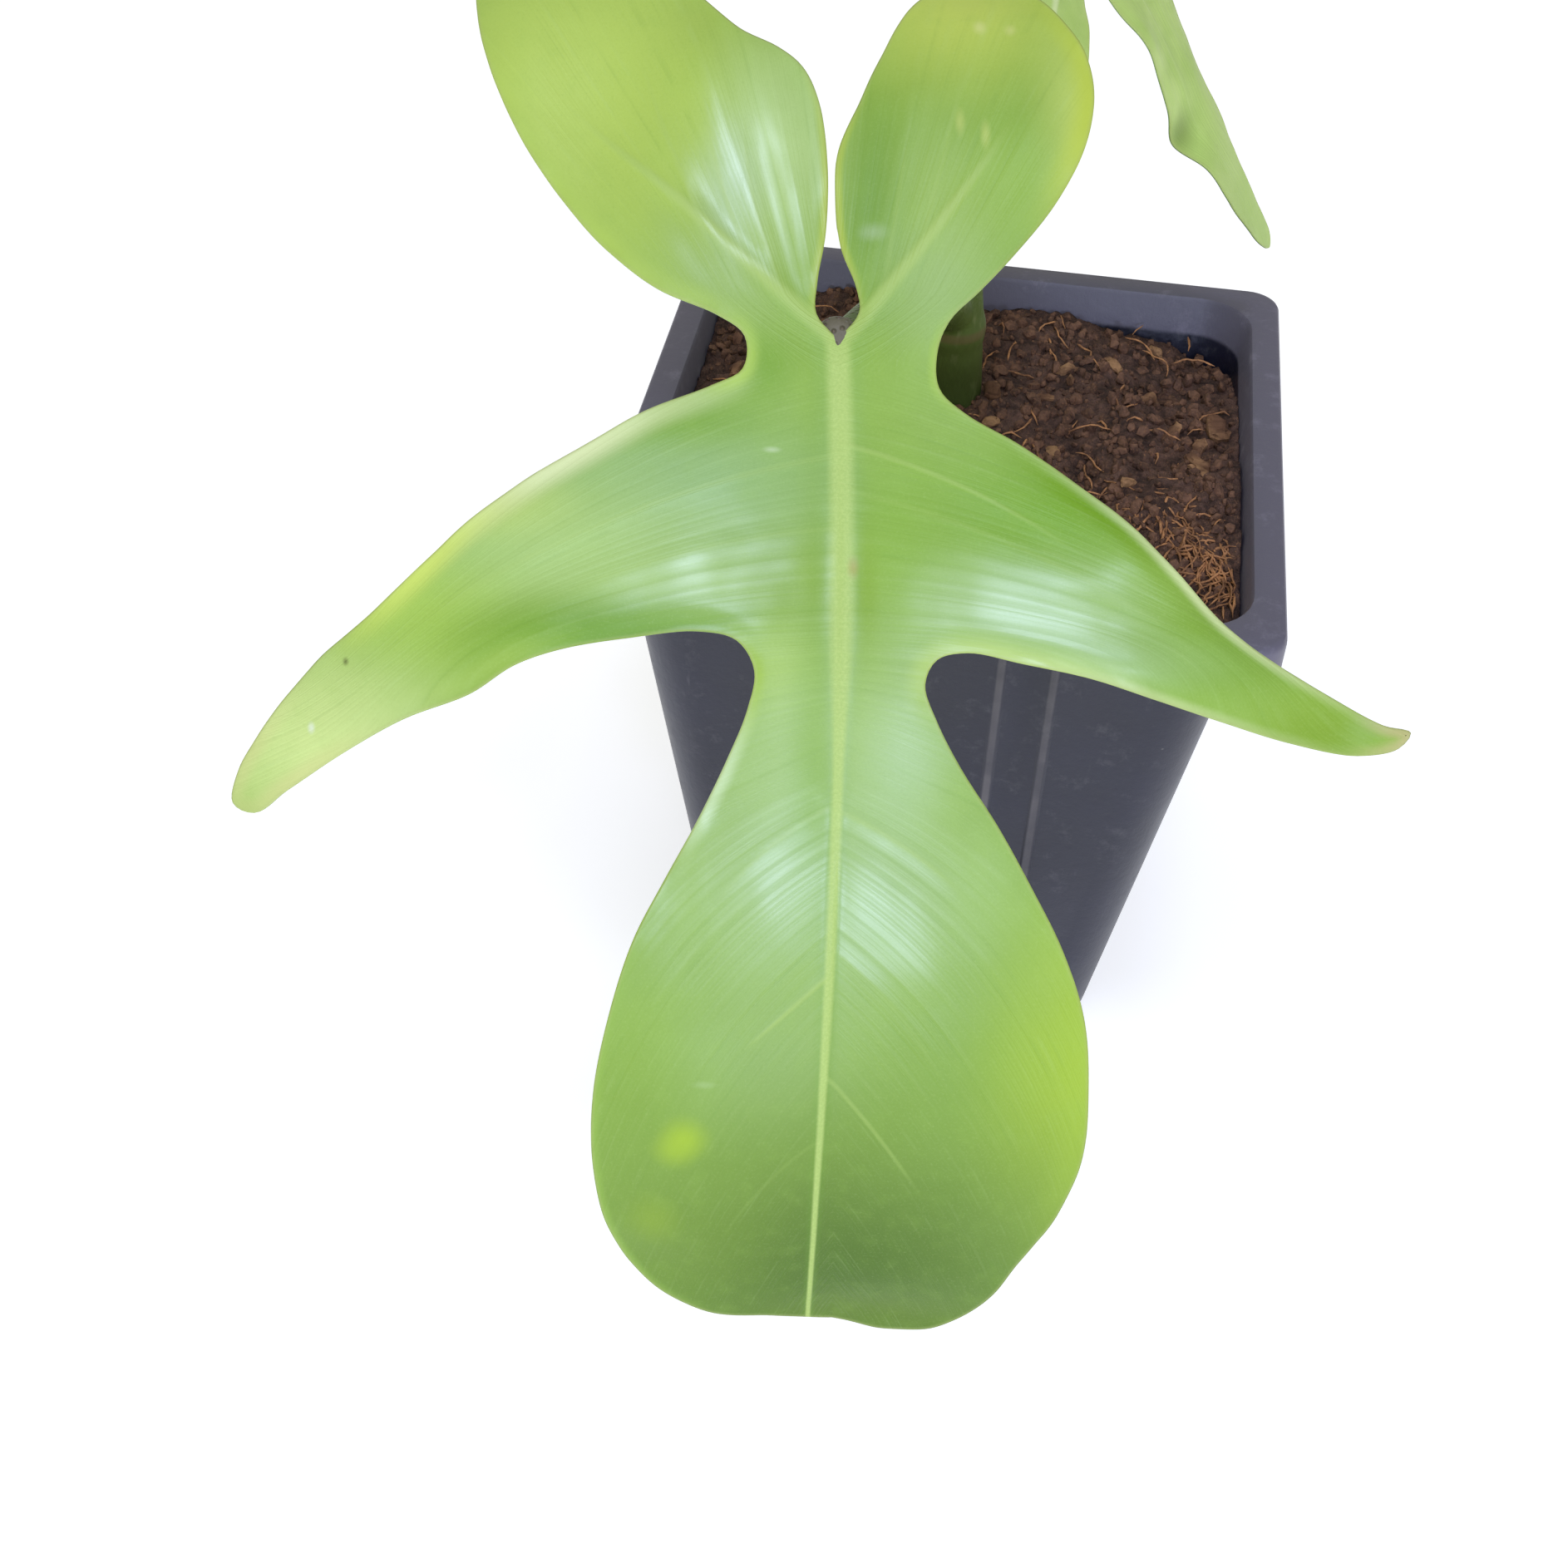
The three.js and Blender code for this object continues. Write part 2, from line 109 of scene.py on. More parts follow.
class Finish:
    """A material in the making: one Principled shader and the nodes that feed it."""

    def __init__(self, name, **constants):
        self.material = bpy.data.materials.new(name)
        self.material.use_nodes = True
        self.tree = self.material.node_tree
        self.shader = self.tree.nodes["Principled BSDF"]
        self.set(**constants)

    def add(self, kind, settings=None, values=None, out=0):
        """A node of that kind, with its settings and its sockets' values or links, as one of its outputs."""
        node = self.tree.nodes.new(kind)
        for key, value in (settings or {}).items():
            setattr(node, key, value)
        for key, value in (values or {}).items():
            self.feed(node.inputs[key], value)
        return Sock(self, node.outputs[out])

    def feed(self, socket, value):
        if isinstance(value, Sock):
            self.tree.links.new(value.socket, socket)
        else:
            socket.default_value = value

    def set(self, **inputs):
        for key, value in inputs.items():
            socket = key.replace("_", " ").title().replace("Ior", "IOR")
            self.feed(self.shader.inputs[socket], value)

    def place(self):
        """Object coordinates, in metres."""
        return self.add("ShaderNodeTexCoord", out=3)

    def attribute(self, name, vector=False):
        return self.add("ShaderNodeAttribute", {"attribute_name": name}, out=1 if vector else 2)

    def split(self, vector):
        node = self.add("ShaderNodeSeparateXYZ", values={0: vector}).socket.node
        return [Sock(self, out) for out in node.outputs]

    def vector(self, operation, *vectors):
        out = 1 if operation in ("LENGTH", "DISTANCE", "DOT_PRODUCT") else 0
        return self.add("ShaderNodeVectorMath", {"operation": operation}, dict(enumerate(vectors)), out)

    def mix(self, share, a, b):
        """The colour a where share is 0, b where it is 1."""
        return self.add("ShaderNodeMix", {"data_type": "RGBA"}, {0: share, 6: a, 7: b}, 2)

    def noise(self, place, scale, detail=2.0, rough=0.5, bend=0.0):
        values = {"Vector": place, "Scale": scale, "Detail": detail, "Roughness": rough,
                  "Distortion": bend}
        return self.add("ShaderNodeTexNoise", values=values)

    def streaks(self, along, scale, detail=2.0):
        """Noise that changes with one number only."""
        values = {"W": along, "Scale": scale, "Detail": detail, "Roughness": 0.6}
        return self.add("ShaderNodeTexNoise", {"noise_dimensions": "1D"}, values)

    def cells(self, place, scale):
        """The distance from the nearest of many scattered points."""
        return self.add("ShaderNodeTexVoronoi", values={"Vector": place, "Scale": scale})

    def bump(self, height, depth, normal=None):
        values = {"Strength": 1.0, "Distance": depth, "Height": height}
        if normal is not None:
            values["Normal"] = normal
        return self.add("ShaderNodeBump", values=values)


# Mesh helpers

def smooth_path(points, step):
    """Points about step apart on a centripetal spline through the given ones."""
    knots = [np.array(p, float) for p in points]
    ends = [2 * knots[0] - knots[1], *knots, 2 * knots[-1] - knots[-2]]
    path = [knots[0]]
    for p0, p1, p2, p3 in zip(ends, ends[1:], ends[2:], ends[3:]):
        t1 = np.linalg.norm(p1 - p0) ** 0.5
        t2 = t1 + np.linalg.norm(p2 - p1) ** 0.5
        t3 = t2 + np.linalg.norm(p3 - p2) ** 0.5
        steps = max(2, round(np.linalg.norm(p2 - p1) / step))
        for t in np.linspace(t1, t2, steps + 1)[1:]:
            a1 = ((t1 - t) * p0 + t * p1) / t1
            a2 = ((t2 - t) * p1 + (t - t1) * p2) / (t2 - t1)
            a3 = ((t3 - t) * p2 + (t - t2) * p3) / (t3 - t2)
            b1 = ((t2 - t) * a1 + t * a2) / t2
            b2 = ((t3 - t) * a2 + (t - t1) * a3) / (t3 - t1)
            path.append(((t2 - t) * b1 + (t - t1) * b2) / (t2 - t1))
    return path


def grow(bm, ring, places):
    """Extrudes a closed ring of vertices and moves the new ring to places, in the same order."""
    edges = [bm.edges.get(pair) for pair in zip(ring, ring[1:] + ring[:1])]
    made = bmesh.ops.extrude_edge_only(bm, edges=edges)["geom"]
    fresh = {item for item in made if isinstance(item, bmesh.types.BMVert)}
    grown = []
    for vert in ring:
        grown.append(next(e.other_vert(vert) for e in vert.link_edges if e.other_vert(vert) in fresh))
    for vert, place in zip(grown, places):
        vert.co = place
    return grown


def first_ring(bm, places):
    """A closed ring of vertices and edges at the given places."""
    ring = bmesh.ops.create_circle(bm, segments=len(places), radius=1.0)["verts"]
    for vert, place in zip(ring, places):
        vert.co = place
    return list(ring)


def close_ring(bm, ring):
    edges = [bm.edges.get(pair) for pair in zip(ring, ring[1:] + ring[:1])]
    return bmesh.ops.edgeloop_fill(bm, edges=edges)["faces"]


def tube(bm, path, radii, sides):
    """A closed tube of millimetre sizes along a path of points."""
    points = [Vector(p) for p in path]
    radii = [float(radius) for radius in radii]
    ring = None
    for i, (point, radius) in enumerate(zip(points, radii)):
        along = (points[min(i + 1, len(points) - 1)] - points[max(i - 1, 0)]).normalized()
        across = (Vector((1, 0, 0)) - along * along.x).normalized()
        third = along.cross(across)
        places = []
        for k in range(sides):
            angle = math.tau * k / sides
            places.append(point + radius * (math.cos(angle) * across + math.sin(angle) * third))
        if ring is None:
            ring = first_ring(bm, places)
            start = ring
        else:
            ring = grow(bm, ring, places)
    close_ring(bm, start)
    close_ring(bm, ring)


def stamp(bm, template, matrix):
    """Adds a copy of the template mesh at a matrix and returns its vertices."""
    before = len(bm.verts)
    bm.from_mesh(template)
    bm.verts.ensure_lookup_table()
    fresh = bm.verts[before:]
    bmesh.ops.transform(bm, matrix=matrix, verts=fresh)
    return fresh


def make_piece(name, bm, finish, node=None, angle=None, scale=MM):
    """A finished piece from a bmesh drawn in millimetres, riding on the part."""
    bmesh.ops.scale(bm, vec=(scale, scale, scale), verts=bm.verts)
    mesh = bpy.data.meshes.new(name)
    bm.to_mesh(mesh)
    bm.free()
    piece = bpy.data.objects.new(name, mesh)
    bpy.context.scene.collection.objects.link(piece)
    mesh.materials.append(finish)
    mesh.shade_smooth()
    if angle is not None:
        mesh.set_sharp_from_angle(angle=math.radians(angle))
    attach(piece, "root")
    if node:
        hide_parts(node)
    return piece


def apply_modifiers(piece):
    """Makes the piece's mesh what its modifiers show."""
    graph = bpy.context.evaluated_depsgraph_get()
    mesh = bpy.data.meshes.new_from_object(piece.evaluated_get(graph))
    piece.modifiers.clear()
    old = piece.data
    name = old.name
    piece.data = mesh
    bpy.data.meshes.remove(old)
    mesh.name = name


# Settings

COLOR = {"subtype": "COLOR", "size": 4}


class PotSettings(bpy.types.PropertyGroup):
    height: bpy.props.FloatProperty(name="Height", description="Height in mm", default=90.0)
    base_half: bpy.props.FloatProperty(
        name="Base half width", description="Half the width of the wall at the floor in mm", default=29.5)
    top_half: bpy.props.FloatProperty(
        name="Wall half width", description="Half the width of the wall at the rim in mm", default=41.6)
    rim_half: bpy.props.FloatProperty(
        name="Rim half width", description="Half the width over the rim in mm", default=45.0)
    wall: bpy.props.FloatProperty(name="Wall", description="Wall thickness in mm", default=1.2)
    plastic: bpy.props.FloatVectorProperty(
        name="Plastic", description="Colour of the plastic", default=rgb(25, 26, 43), **COLOR)


class SoilSettings(bpy.types.PropertyGroup):
    level: bpy.props.FloatProperty(name="Level", description="Height of the soil in mm", default=85.4)
    crumbs: bpy.props.IntProperty(name="Crumbs", description="Number of loose crumbs", default=2600)
    fibres: bpy.props.IntProperty(name="Fibres", description="Number of coir fibres", default=360)
    peat: bpy.props.FloatVectorProperty(
        name="Peat", description="Colour of the soil", default=rgb(122, 92, 78), **COLOR)
    coir: bpy.props.FloatVectorProperty(
        name="Coir", description="Colour of the fibres", default=rgb(214, 152, 100), **COLOR)


class PlantSettings(bpy.types.PropertyGroup):
    blade: bpy.props.FloatProperty(name="Blade", description="Blade thickness in mm", default=0.5)
    grid: bpy.props.FloatProperty(name="Grid", description="Size of a blade's faces in mm", default=0.75)
    green: bpy.props.FloatVectorProperty(
        name="Leaf green", description="Colour of the blade", default=rgb(136, 172, 62), **COLOR)
    # The second blade's colours are painted paler than the first's, a painted lightening for the light it
    # catches.
    second_green: bpy.props.FloatVectorProperty(
        name="Second leaf", description="Colour of the second blade", default=rgb(190, 216, 118), **COLOR)
    lime: bpy.props.FloatVectorProperty(
        name="Lime", description="Colour of the blade's yellow parts", default=rgb(150, 186, 76), **COLOR)
    vein: bpy.props.FloatVectorProperty(
        name="Veins", description="Colour of the midrib and veins", default=rgb(174, 200, 104), **COLOR)
    second_vein: bpy.props.FloatVectorProperty(
        name="Second veins", description="Colour of the second blade's veins",
        default=rgb(222, 236, 172), **COLOR)
    stalk: bpy.props.FloatVectorProperty(
        name="Stalks", description="Colour of the stem and stalks", default=rgb(86, 106, 44), **COLOR)


class StudioSettings(bpy.types.PropertyGroup):
    floor: bpy.props.FloatVectorProperty(
        name="Floor", description="Colour of the floor", default=(0.93, 0.93, 0.93, 1.0), **COLOR)
    key: bpy.props.FloatProperty(name="Key light", description="Strength of the soft sun", default=0.2)
    front: bpy.props.FloatProperty(
        name="Front lights", description="Share of the front lights' full brightness", default=1.0)
    sky: bpy.props.FloatProperty(name="Surround", description="Brightness all round", default=0.46)


# Pot

POT_RIM_CORNER = 4.5
POT_LIP_DROP = 5.4
POT_FLOOR = 1.6
RIB_SHIFT = 13.5
RIB_SPACING = 7.0
RIB_WIDTH = 1.1
RIB_PROUD = 0.35
RIB_SLOPE = 0.3
CORNER_STEPS = 8
DRAIN_RADIUS = 3.0
# Where the drain holes' middles are.
DRAINS = [(17, 17), (-17, 17), (-17, -17), (17, -17), (0, 22), (0, -22), (22, 0), (-22, 0)]


def squared_ring(half, height, corner, proud=0.0):
    """A rounded square at a height, with the points of two upright ribs on each side."""
    side = []
    top = RIB_WIDTH / 2
    foot = top + RIB_SLOPE
    for middle in (RIB_SHIFT - RIB_SPACING / 2, RIB_SHIFT + RIB_SPACING / 2):
        for shift, out in ((-foot, 0), (-top, proud), (top, proud), (foot, 0)):
            side.append(Vector((middle + shift, -half - out, height)))
    centre = Vector((half - corner, corner - half, height))
    for step in range(CORNER_STEPS + 1):
        angle = math.radians(-90 + 90 * step / CORNER_STEPS)
        side.append(centre + corner * Vector((math.cos(angle), math.sin(angle), 0)))
    ring = []
    for quarter in range(4):
        ring += [Matrix.Rotation(quarter * math.pi / 2, 3, "Z") @ point for point in side]
    return ring


def pot_finish(settings):
    plastic = Finish("black_plastic", roughness=0.38, specular_ior_level=0.48)
    place = plastic.place()
    x, y, z = plastic.split(place)
    cloud = plastic.noise(place, 38, 4, 0.6)
    grain = plastic.noise(place, 900, 3, 0.7)
    dust = plastic.noise(place, 210, 5, 0.75).ramp(0.52, 0.78)
    scuffs = plastic.noise(plastic.vector("MULTIPLY", place, (1, 1, 0.05)), 700, 3, 0.6)
    scuff = scuffs.ramp(0.64, 0.78) * cloud.ramp(0.45, 0.65)
    specks = plastic.cells(place, 260).ramp(0.0, 0.07, 1, 0) * plastic.noise(place, 60).ramp(0.6, 0.7)
    lip = (settings.height - POT_LIP_DROP) * MM
    # The band of the rim above the lip. Its paler colour below is a painted sheen, with some dust.
    brim = z.ramp(lip - 0.8 * MM, lip)
    front = (abs(y) - abs(x)).ramp(-0.0001, 0.0001)
    along = front * x * (y * -1).math("SIGN") + (1 - front) * y * x.math("SIGN")
    off_rib = abs(abs(along - RIB_SHIFT * MM) - RIB_SPACING / 2 * MM)
    # The ribs' crests. The lighter colour they get below is a painted highlight where they catch the light.
    ridge = off_rib.ramp(0.0003, 0.0007, 1, 0) * (1 - brim)
    color = plastic.mix(cloud.ramp(0.3, 0.7) * 0.6, tuple(settings.plastic), rgb(34, 35, 55))
    color = plastic.mix(dust * 0.16 + scuff * 0.14, color, rgb(150, 148, 150))
    # Painted highlight along the ribs' crests.
    color = plastic.mix(ridge * (0.1 + cloud.ramp(0.35, 0.6) * 0.2), color, rgb(150, 142, 140))
    # Painted sheen on the rim band, with dust mixed in.
    color = plastic.mix(brim * (0.44 + dust * 0.25), color, rgb(146, 140, 156))
    color = plastic.mix(specks * 0.7, color, rgb(190, 186, 178))
    rough = 0.3 + cloud * 0.16 + dust * 0.2 + scuff * 0.12 + brim * 0.05
    fine = plastic.bump(grain, 0.00004)
    plastic.set(base_color=color, roughness=rough,
                normal=plastic.bump(cloud + scuffs * 0.15, 0.00025, fine))
    return plastic.material


def pot_levels(pot):
    """The rings of the pot's wall: half width, height, corner radius and how far the ribs stand out, from
    the bottom up the outside, over the rim and down the inside."""
    flare = (pot.top_half - pot.base_half) / pot.height

    def outside(z):
        return pot.base_half + flare * z

    def inside(z):
        return outside(z) - pot.wall

    top = pot.height
    under = top - pot.wall
    lip = top - POT_LIP_DROP
    rim = pot.rim_half
    corner = POT_RIM_CORNER
    return [
        (outside(0) - 1, 0, 6.4, 0), (outside(0) - 0.45, 0.18, 6.7, 0), (outside(0.6) - 0.1, 0.6, 7, 0),
        (outside(1.2), 1.2, 7, 0), (outside(4), 4, 7.1, 0), (outside(4.6), 4.6, 7.1, RIB_PROUD),
        (outside(40), 40, 7.5, RIB_PROUD), (outside(80), 80, 7.9, RIB_PROUD),
        (outside(81), 81, 7.9, 0), (outside(under - 0.5), under - 0.5, 8, 0),
        (outside(under) + 0.5, under, 7.6, 0), (rim - pot.wall - 0.5, under, corner - 0.8, 0),
        (rim - pot.wall, under - 0.5, corner - 0.6, 0), (rim - pot.wall, lip + 0.25, corner - 0.6, 0),
        (rim - pot.wall + 0.25, lip, corner - 0.4, 0), (rim - 0.25, lip, corner - 0.1, 0),
        (rim, lip + 0.25, corner, 0), (rim, lip + 1.4, corner, 0), (rim, top - 1.1, corner, 0),
        (rim - 0.08, top - 0.6, corner, 0), (rim - 0.32, top - 0.22, corner - 0.1, 0),
        (rim - 0.8, top, corner - 0.3, 0), (inside(top) + 1.0, top, 7.9, 0),
        (inside(top) + 0.4, top - 0.16, 7.7, 0), (inside(top) + 0.02, top - 0.7, 7.3, 0),
        (inside(80), 80, 7, 0), (inside(POT_FLOOR + 1.2), POT_FLOOR + 1.2, 6, 0),
        (inside(POT_FLOOR) - 0.4, POT_FLOOR + 0.3, 5.8, 0), (inside(POT_FLOOR) - 1.1, POT_FLOOR, 5.4, 0),
    ]


def cut_drains(piece):
    """Cuts the drain holes through the pot's floor."""
    bm = bmesh.new()
    for x, y in DRAINS:
        bmesh.ops.create_cone(
            bm, cap_ends=True, segments=32, radius1=DRAIN_RADIUS, radius2=DRAIN_RADIUS,
            depth=6, matrix=Matrix.Translation((x, y, 1)))
    bmesh.ops.scale(bm, vec=(MM, MM, MM), verts=bm.verts)
    mesh = bpy.data.meshes.new("drains")
    bm.to_mesh(mesh)
    bm.free()
    cutter = bpy.data.objects.new("drains", mesh)
    bpy.context.scene.collection.objects.link(cutter)
    holes = piece.modifiers.new("drains", "BOOLEAN")
    holes.object = cutter
    holes.solver = "EXACT"
    apply_modifiers(piece)
    bpy.data.objects.remove(cutter)
    bpy.data.meshes.remove(mesh)


class PLANT_OT_pot(bpy.types.Operator):
    """Build the square nursery pot with its ribs, rim and drain holes"""
    bl_idname = "plant.pot"
    bl_label = "Nursery pot"

    def execute(self, context):
        pot = context.scene.plant_pot
        bm = bmesh.new()
        first, *others = [squared_ring(*level) for level in pot_levels(pot)]
        start = end = first_ring(bm, first)
        for places in others:
            end = grow(bm, end, places)
        close_ring(bm, start)
        close_ring(bm, end)
        bmesh.ops.recalc_face_normals(bm, faces=bm.faces)
        cut_drains(make_piece("nursery_pot", bm, pot_finish(pot), "pot", 32))
        return {"FINISHED"}


# Soil

STEM_AT = (-2.2, 13.1)
SOIL_CORNER = 6.5
SUNK_CORNER = (40, 40)
MAT_MIDDLE = (32, -12)
CRUMB_SIZES = (0.35, 0.45, 0.55, 0.7, 0.95)
BARK_COUNT = 46
FIBRE_RADIUS = 0.14
# Noise vectors change with the clock unless they have a seed.
NOISE_SEED = 7
# The chips that show best: place, length and turn.
BARK = [
    (3.6, 12, 3.2, 0.2), (21, 26, 3.6, 0.6), (26, 18.5, 3.2, -0.7), (30, 8.5, 4.6, -0.4),
    (36.5, 12, 5.2, 0.3), (34, -1.4, 3.6, 1.1),
]
# Where the coir lies thickest.
MAT_LINE = [(25.9, -8.4), (31.7, -15.7), (35.8, -21.7), (38.4, -26.1), (37.6, -32.2)]


def mound(x, y, middle, spread):
    """A rise of 1 at its middle that fades out all round."""
    return math.exp(-((x - middle[0]) ** 2 + (y - middle[1]) ** 2) / spread)


def soil_height(level, x, y):
    lumps = 1.5 * noise.noise((x / 11, y / 11, 0.3)) + 1.0 * noise.noise((x / 4.5, y / 4.5, 2.6))
    grains = 0.75 * noise.noise((x / 1.6, y / 1.6, 5.1)) + 0.4 * noise.noise((x / 0.8, y / 0.8, 9.4))
    raised = mound(x, y, STEM_AT, 90) + 1.8 * mound(x, y, MAT_MIDDLE, 150)
    return level - 0.2 + lumps + grains + raised - 6 * mound(x, y, SUNK_CORNER, 260)


def within_pot(x, y, half):
    """True inside a rounded square of that half width."""
    dx = max(0, abs(x) - half + SOIL_CORNER)
    dy = max(0, abs(y) - half + SOIL_CORNER)
    return max(abs(x), abs(y)) < half and math.hypot(dx, dy) < SOIL_CORNER


def peat_finish(settings):
    peat = Finish("peat", roughness=0.9, specular_ior_level=0.25)
    place = peat.place()
    lumps = peat.noise(place, 260, 5, 0.7)
    grains = peat.noise(place, 1500, 4, 0.75)
    strands = peat.noise(peat.vector("MULTIPLY", place, (1, 0.22, 1)), 2200, 3, 0.6, 1.2)
    dark = peat.mix(lumps.ramp(0.35, 0.68), rgb(66, 49, 43), tuple(settings.peat))
    color = peat.mix(grains.ramp(0.48, 0.75) * 0.75, dark, rgb(132, 96, 74))
    color = peat.mix(strands.ramp(0.6, 0.75) * lumps.ramp(0.4, 0.6) * 0.6, color, tuple(settings.coir))
    peat.set(base_color=color, roughness=0.78 + grains * 0.2,
             normal=peat.bump(grains + strands * 0.5, 0.0005, peat.bump(lumps, 0.0012)))
    return peat.material


def crumb_finish():
    crumb = Finish("peat_crumbs", roughness=0.9, specular_ior_level=0.2)
    place = crumb.place()
    tone = crumb.noise(place, 330, 3, 0.8)
    grains = crumb.noise(place, 2600, 3, 0.7)
    color = crumb.mix(tone.ramp(0.3, 0.7), rgb(82, 60, 50), rgb(136, 100, 78))
    color = crumb.mix(grains.ramp(0.5, 0.72) * 0.45, color, rgb(168, 120, 84))
    crumb.set(base_color=color, roughness=0.8 + tone * 0.15, normal=crumb.bump(grains, 0.0003))
    return crumb.material


def coir_finish(settings):
    coir = Finish("coir", roughness=0.75, specular_ior_level=0.35)
    place = coir.place()
    tone = coir.noise(place, 420, 3, 0.7)
    fine = coir.noise(place, 3000, 2)
    color = coir.mix(tone.ramp(0.3, 0.72), rgb(134, 92, 62), tuple(settings.coir))
    color = coir.mix(fine.ramp(0.55, 0.8) * 0.4, color, rgb(206, 166, 122))
    coir.set(base_color=color, roughness=0.65 + tone * 0.25, normal=coir.bump(fine, 0.0002))
    return coir.material


def bark_finish():
    bark = Finish("bark", roughness=0.8, specular_ior_level=0.3)
    place = bark.place()
    layers = bark.noise(bark.vector("MULTIPLY", place, (0.35, 1, 1.6)), 900, 5, 0.7, 0.6)
    tone = bark.noise(place, 150, 2)
    color = bark.mix(tone.ramp(0.4, 0.6), rgb(112, 78, 56), rgb(178, 134, 94))
    color = bark.mix(layers.ramp(0.5, 0.72) * 0.6, color, rgb(70, 44, 32))
    bark.set(base_color=color, roughness=0.7 + layers * 0.25, normal=bark.bump(layers, 0.0006))
    return bark.material


class PLANT_OT_soil(bpy.types.Operator):
    """Build the peaty soil with its crumbs, bark chips and coir fibres"""
    bl_idname = "plant.soil"
    bl_label = "Soil"

    def execute(self, context):
        pot = context.scene.plant_pot
        soil = context.scene.plant_soil
        flare = (pot.top_half - pot.base_half) / pot.height
        inside = pot.base_half + flare * soil.level - pot.wall - 0.15
        noise.seed_set(NOISE_SEED)
        self.ground(soil, flare, inside)
        self.crumbs(soil, inside)
        self.bark(soil, inside)
        self.fibres(soil, inside)
        return {"FINISHED"}

    def ground(self, soil, flare, inside):
        bm = bmesh.new()
        bmesh.ops.create_grid(bm, x_segments=190, y_segments=190, size=inside)
        for vert in bm.verts:
            x, y = vert.co.xy
            reach = max(abs(x), abs(y)) / inside
            corner = SOIL_CORNER * reach
            dx = max(0, abs(x) - inside * reach + corner)
            dy = max(0, abs(y) - inside * reach + corner)
            over = math.hypot(dx, dy)
            if dx > 0 and dy > 0 and over > 0:
                pull = corner / over * max(dx, dy) / corner
                x = math.copysign(abs(x) - dx + dx * pull, x)
                y = math.copysign(abs(y) - dy + dy * pull, y)
            vert.co = (x, y, soil_height(soil.level, x, y))
        rim = [edge for edge in bm.edges if edge.is_boundary]
        made = bmesh.ops.extrude_edge_only(bm, edges=rim)["geom"]
        skirt = [item for item in made if isinstance(item, bmesh.types.BMVert)]
        foot = POT_FLOOR + 0.5
        shrink = (inside - flare * (soil.level - foot)) / inside
        for vert in skirt:
            vert.co = (vert.co.x * shrink * 0.97, vert.co.y * shrink * 0.97, foot)
        bottom = [item for item in made if isinstance(item, bmesh.types.BMEdge) and item.is_boundary]
        bmesh.ops.edgeloop_fill(bm, edges=bottom)
        bmesh.ops.recalc_face_normals(bm, faces=bm.faces)
        make_piece("soil_ground", bm, peat_finish(soil), "soil")

    def crumbs(self, soil, inside):
        rng = random.Random(7)
        bm = bmesh.new()
        crumb = bpy.data.meshes.new("crumb")
        for _ in range(soil.crumbs):
            x, y = rng.uniform(-inside, inside), rng.uniform(-inside, inside)
            size = rng.choice(CRUMB_SIZES)
            if not within_pot(x, y, inside - size - 0.3):
                continue
            stretch = Matrix.Diagonal((size * rng.uniform(0.7, 1.6), size, size * rng.uniform(0.6, 1), 1))
            turn = Euler([rng.uniform(0, 3.1) for _ in range(3)]).to_matrix().to_4x4()
            spot = Matrix.Translation((x, y, soil_height(soil.level, x, y) + size * rng.uniform(0, 0.6)))
            ball = bmesh.new()
            bmesh.ops.create_icosphere(ball, subdivisions=1, radius=1, matrix=spot @ turn @ stretch)
            for vert in ball.verts:
                vert.co += 0.3 * size * noise.noise_vector(vert.co * 1.7)
            ball.to_mesh(crumb)
            ball.free()
            bm.from_mesh(crumb)
        bpy.data.meshes.remove(crumb)
        make_piece("soil_crumbs", bm, crumb_finish(), angle=40)

    def bark(self, soil, inside):
        rng = random.Random(19)
        chips = [(x, y, length, turn, 0.2) for x, y, length, turn in BARK]
        while len(chips) < BARK_COUNT:
            x, y = rng.uniform(-inside, inside), rng.uniform(-inside, inside)
            if within_pot(x, y, inside - 4):
                chips.append((x, y, rng.uniform(1.8, 4.6), rng.uniform(0, 3.1), rng.uniform(-0.5, 0.5)))
        bm = bmesh.new()
        bmesh.ops.create_cube(bm, size=1)
        bmesh.ops.subdivide_edges(bm, edges=bm.edges, cuts=3, use_grid_fill=True)
        for vert in bm.verts:
            vert.co *= 1 - 0.13 * sum(abs(c) > 0.49 for c in vert.co) ** 1.4 + 0.13
        chip = bpy.data.meshes.new("chip")
        bm.to_mesh(chip)
        bm.clear()
        for x, y, length, turn, tip in chips:
            size = Matrix.Diagonal((length * rng.uniform(0.4, 0.65), length, rng.uniform(0.9, 1.7), 1))
            lean = Matrix.Rotation(turn, 4, "Z") @ Matrix.Rotation(tip, 4, "X")
            spot = Matrix.Translation((x, y, soil_height(soil.level, x, y) + 0.35))
            for vert in stamp(bm, chip, spot @ lean @ size):
                vert.co += 0.55 * noise.noise_vector(vert.co * 0.8) + 0.2 * noise.noise_vector(vert.co * 2.3)
        bpy.data.meshes.remove(chip)
        make_piece("bark_chips", bm, bark_finish(), angle=50)

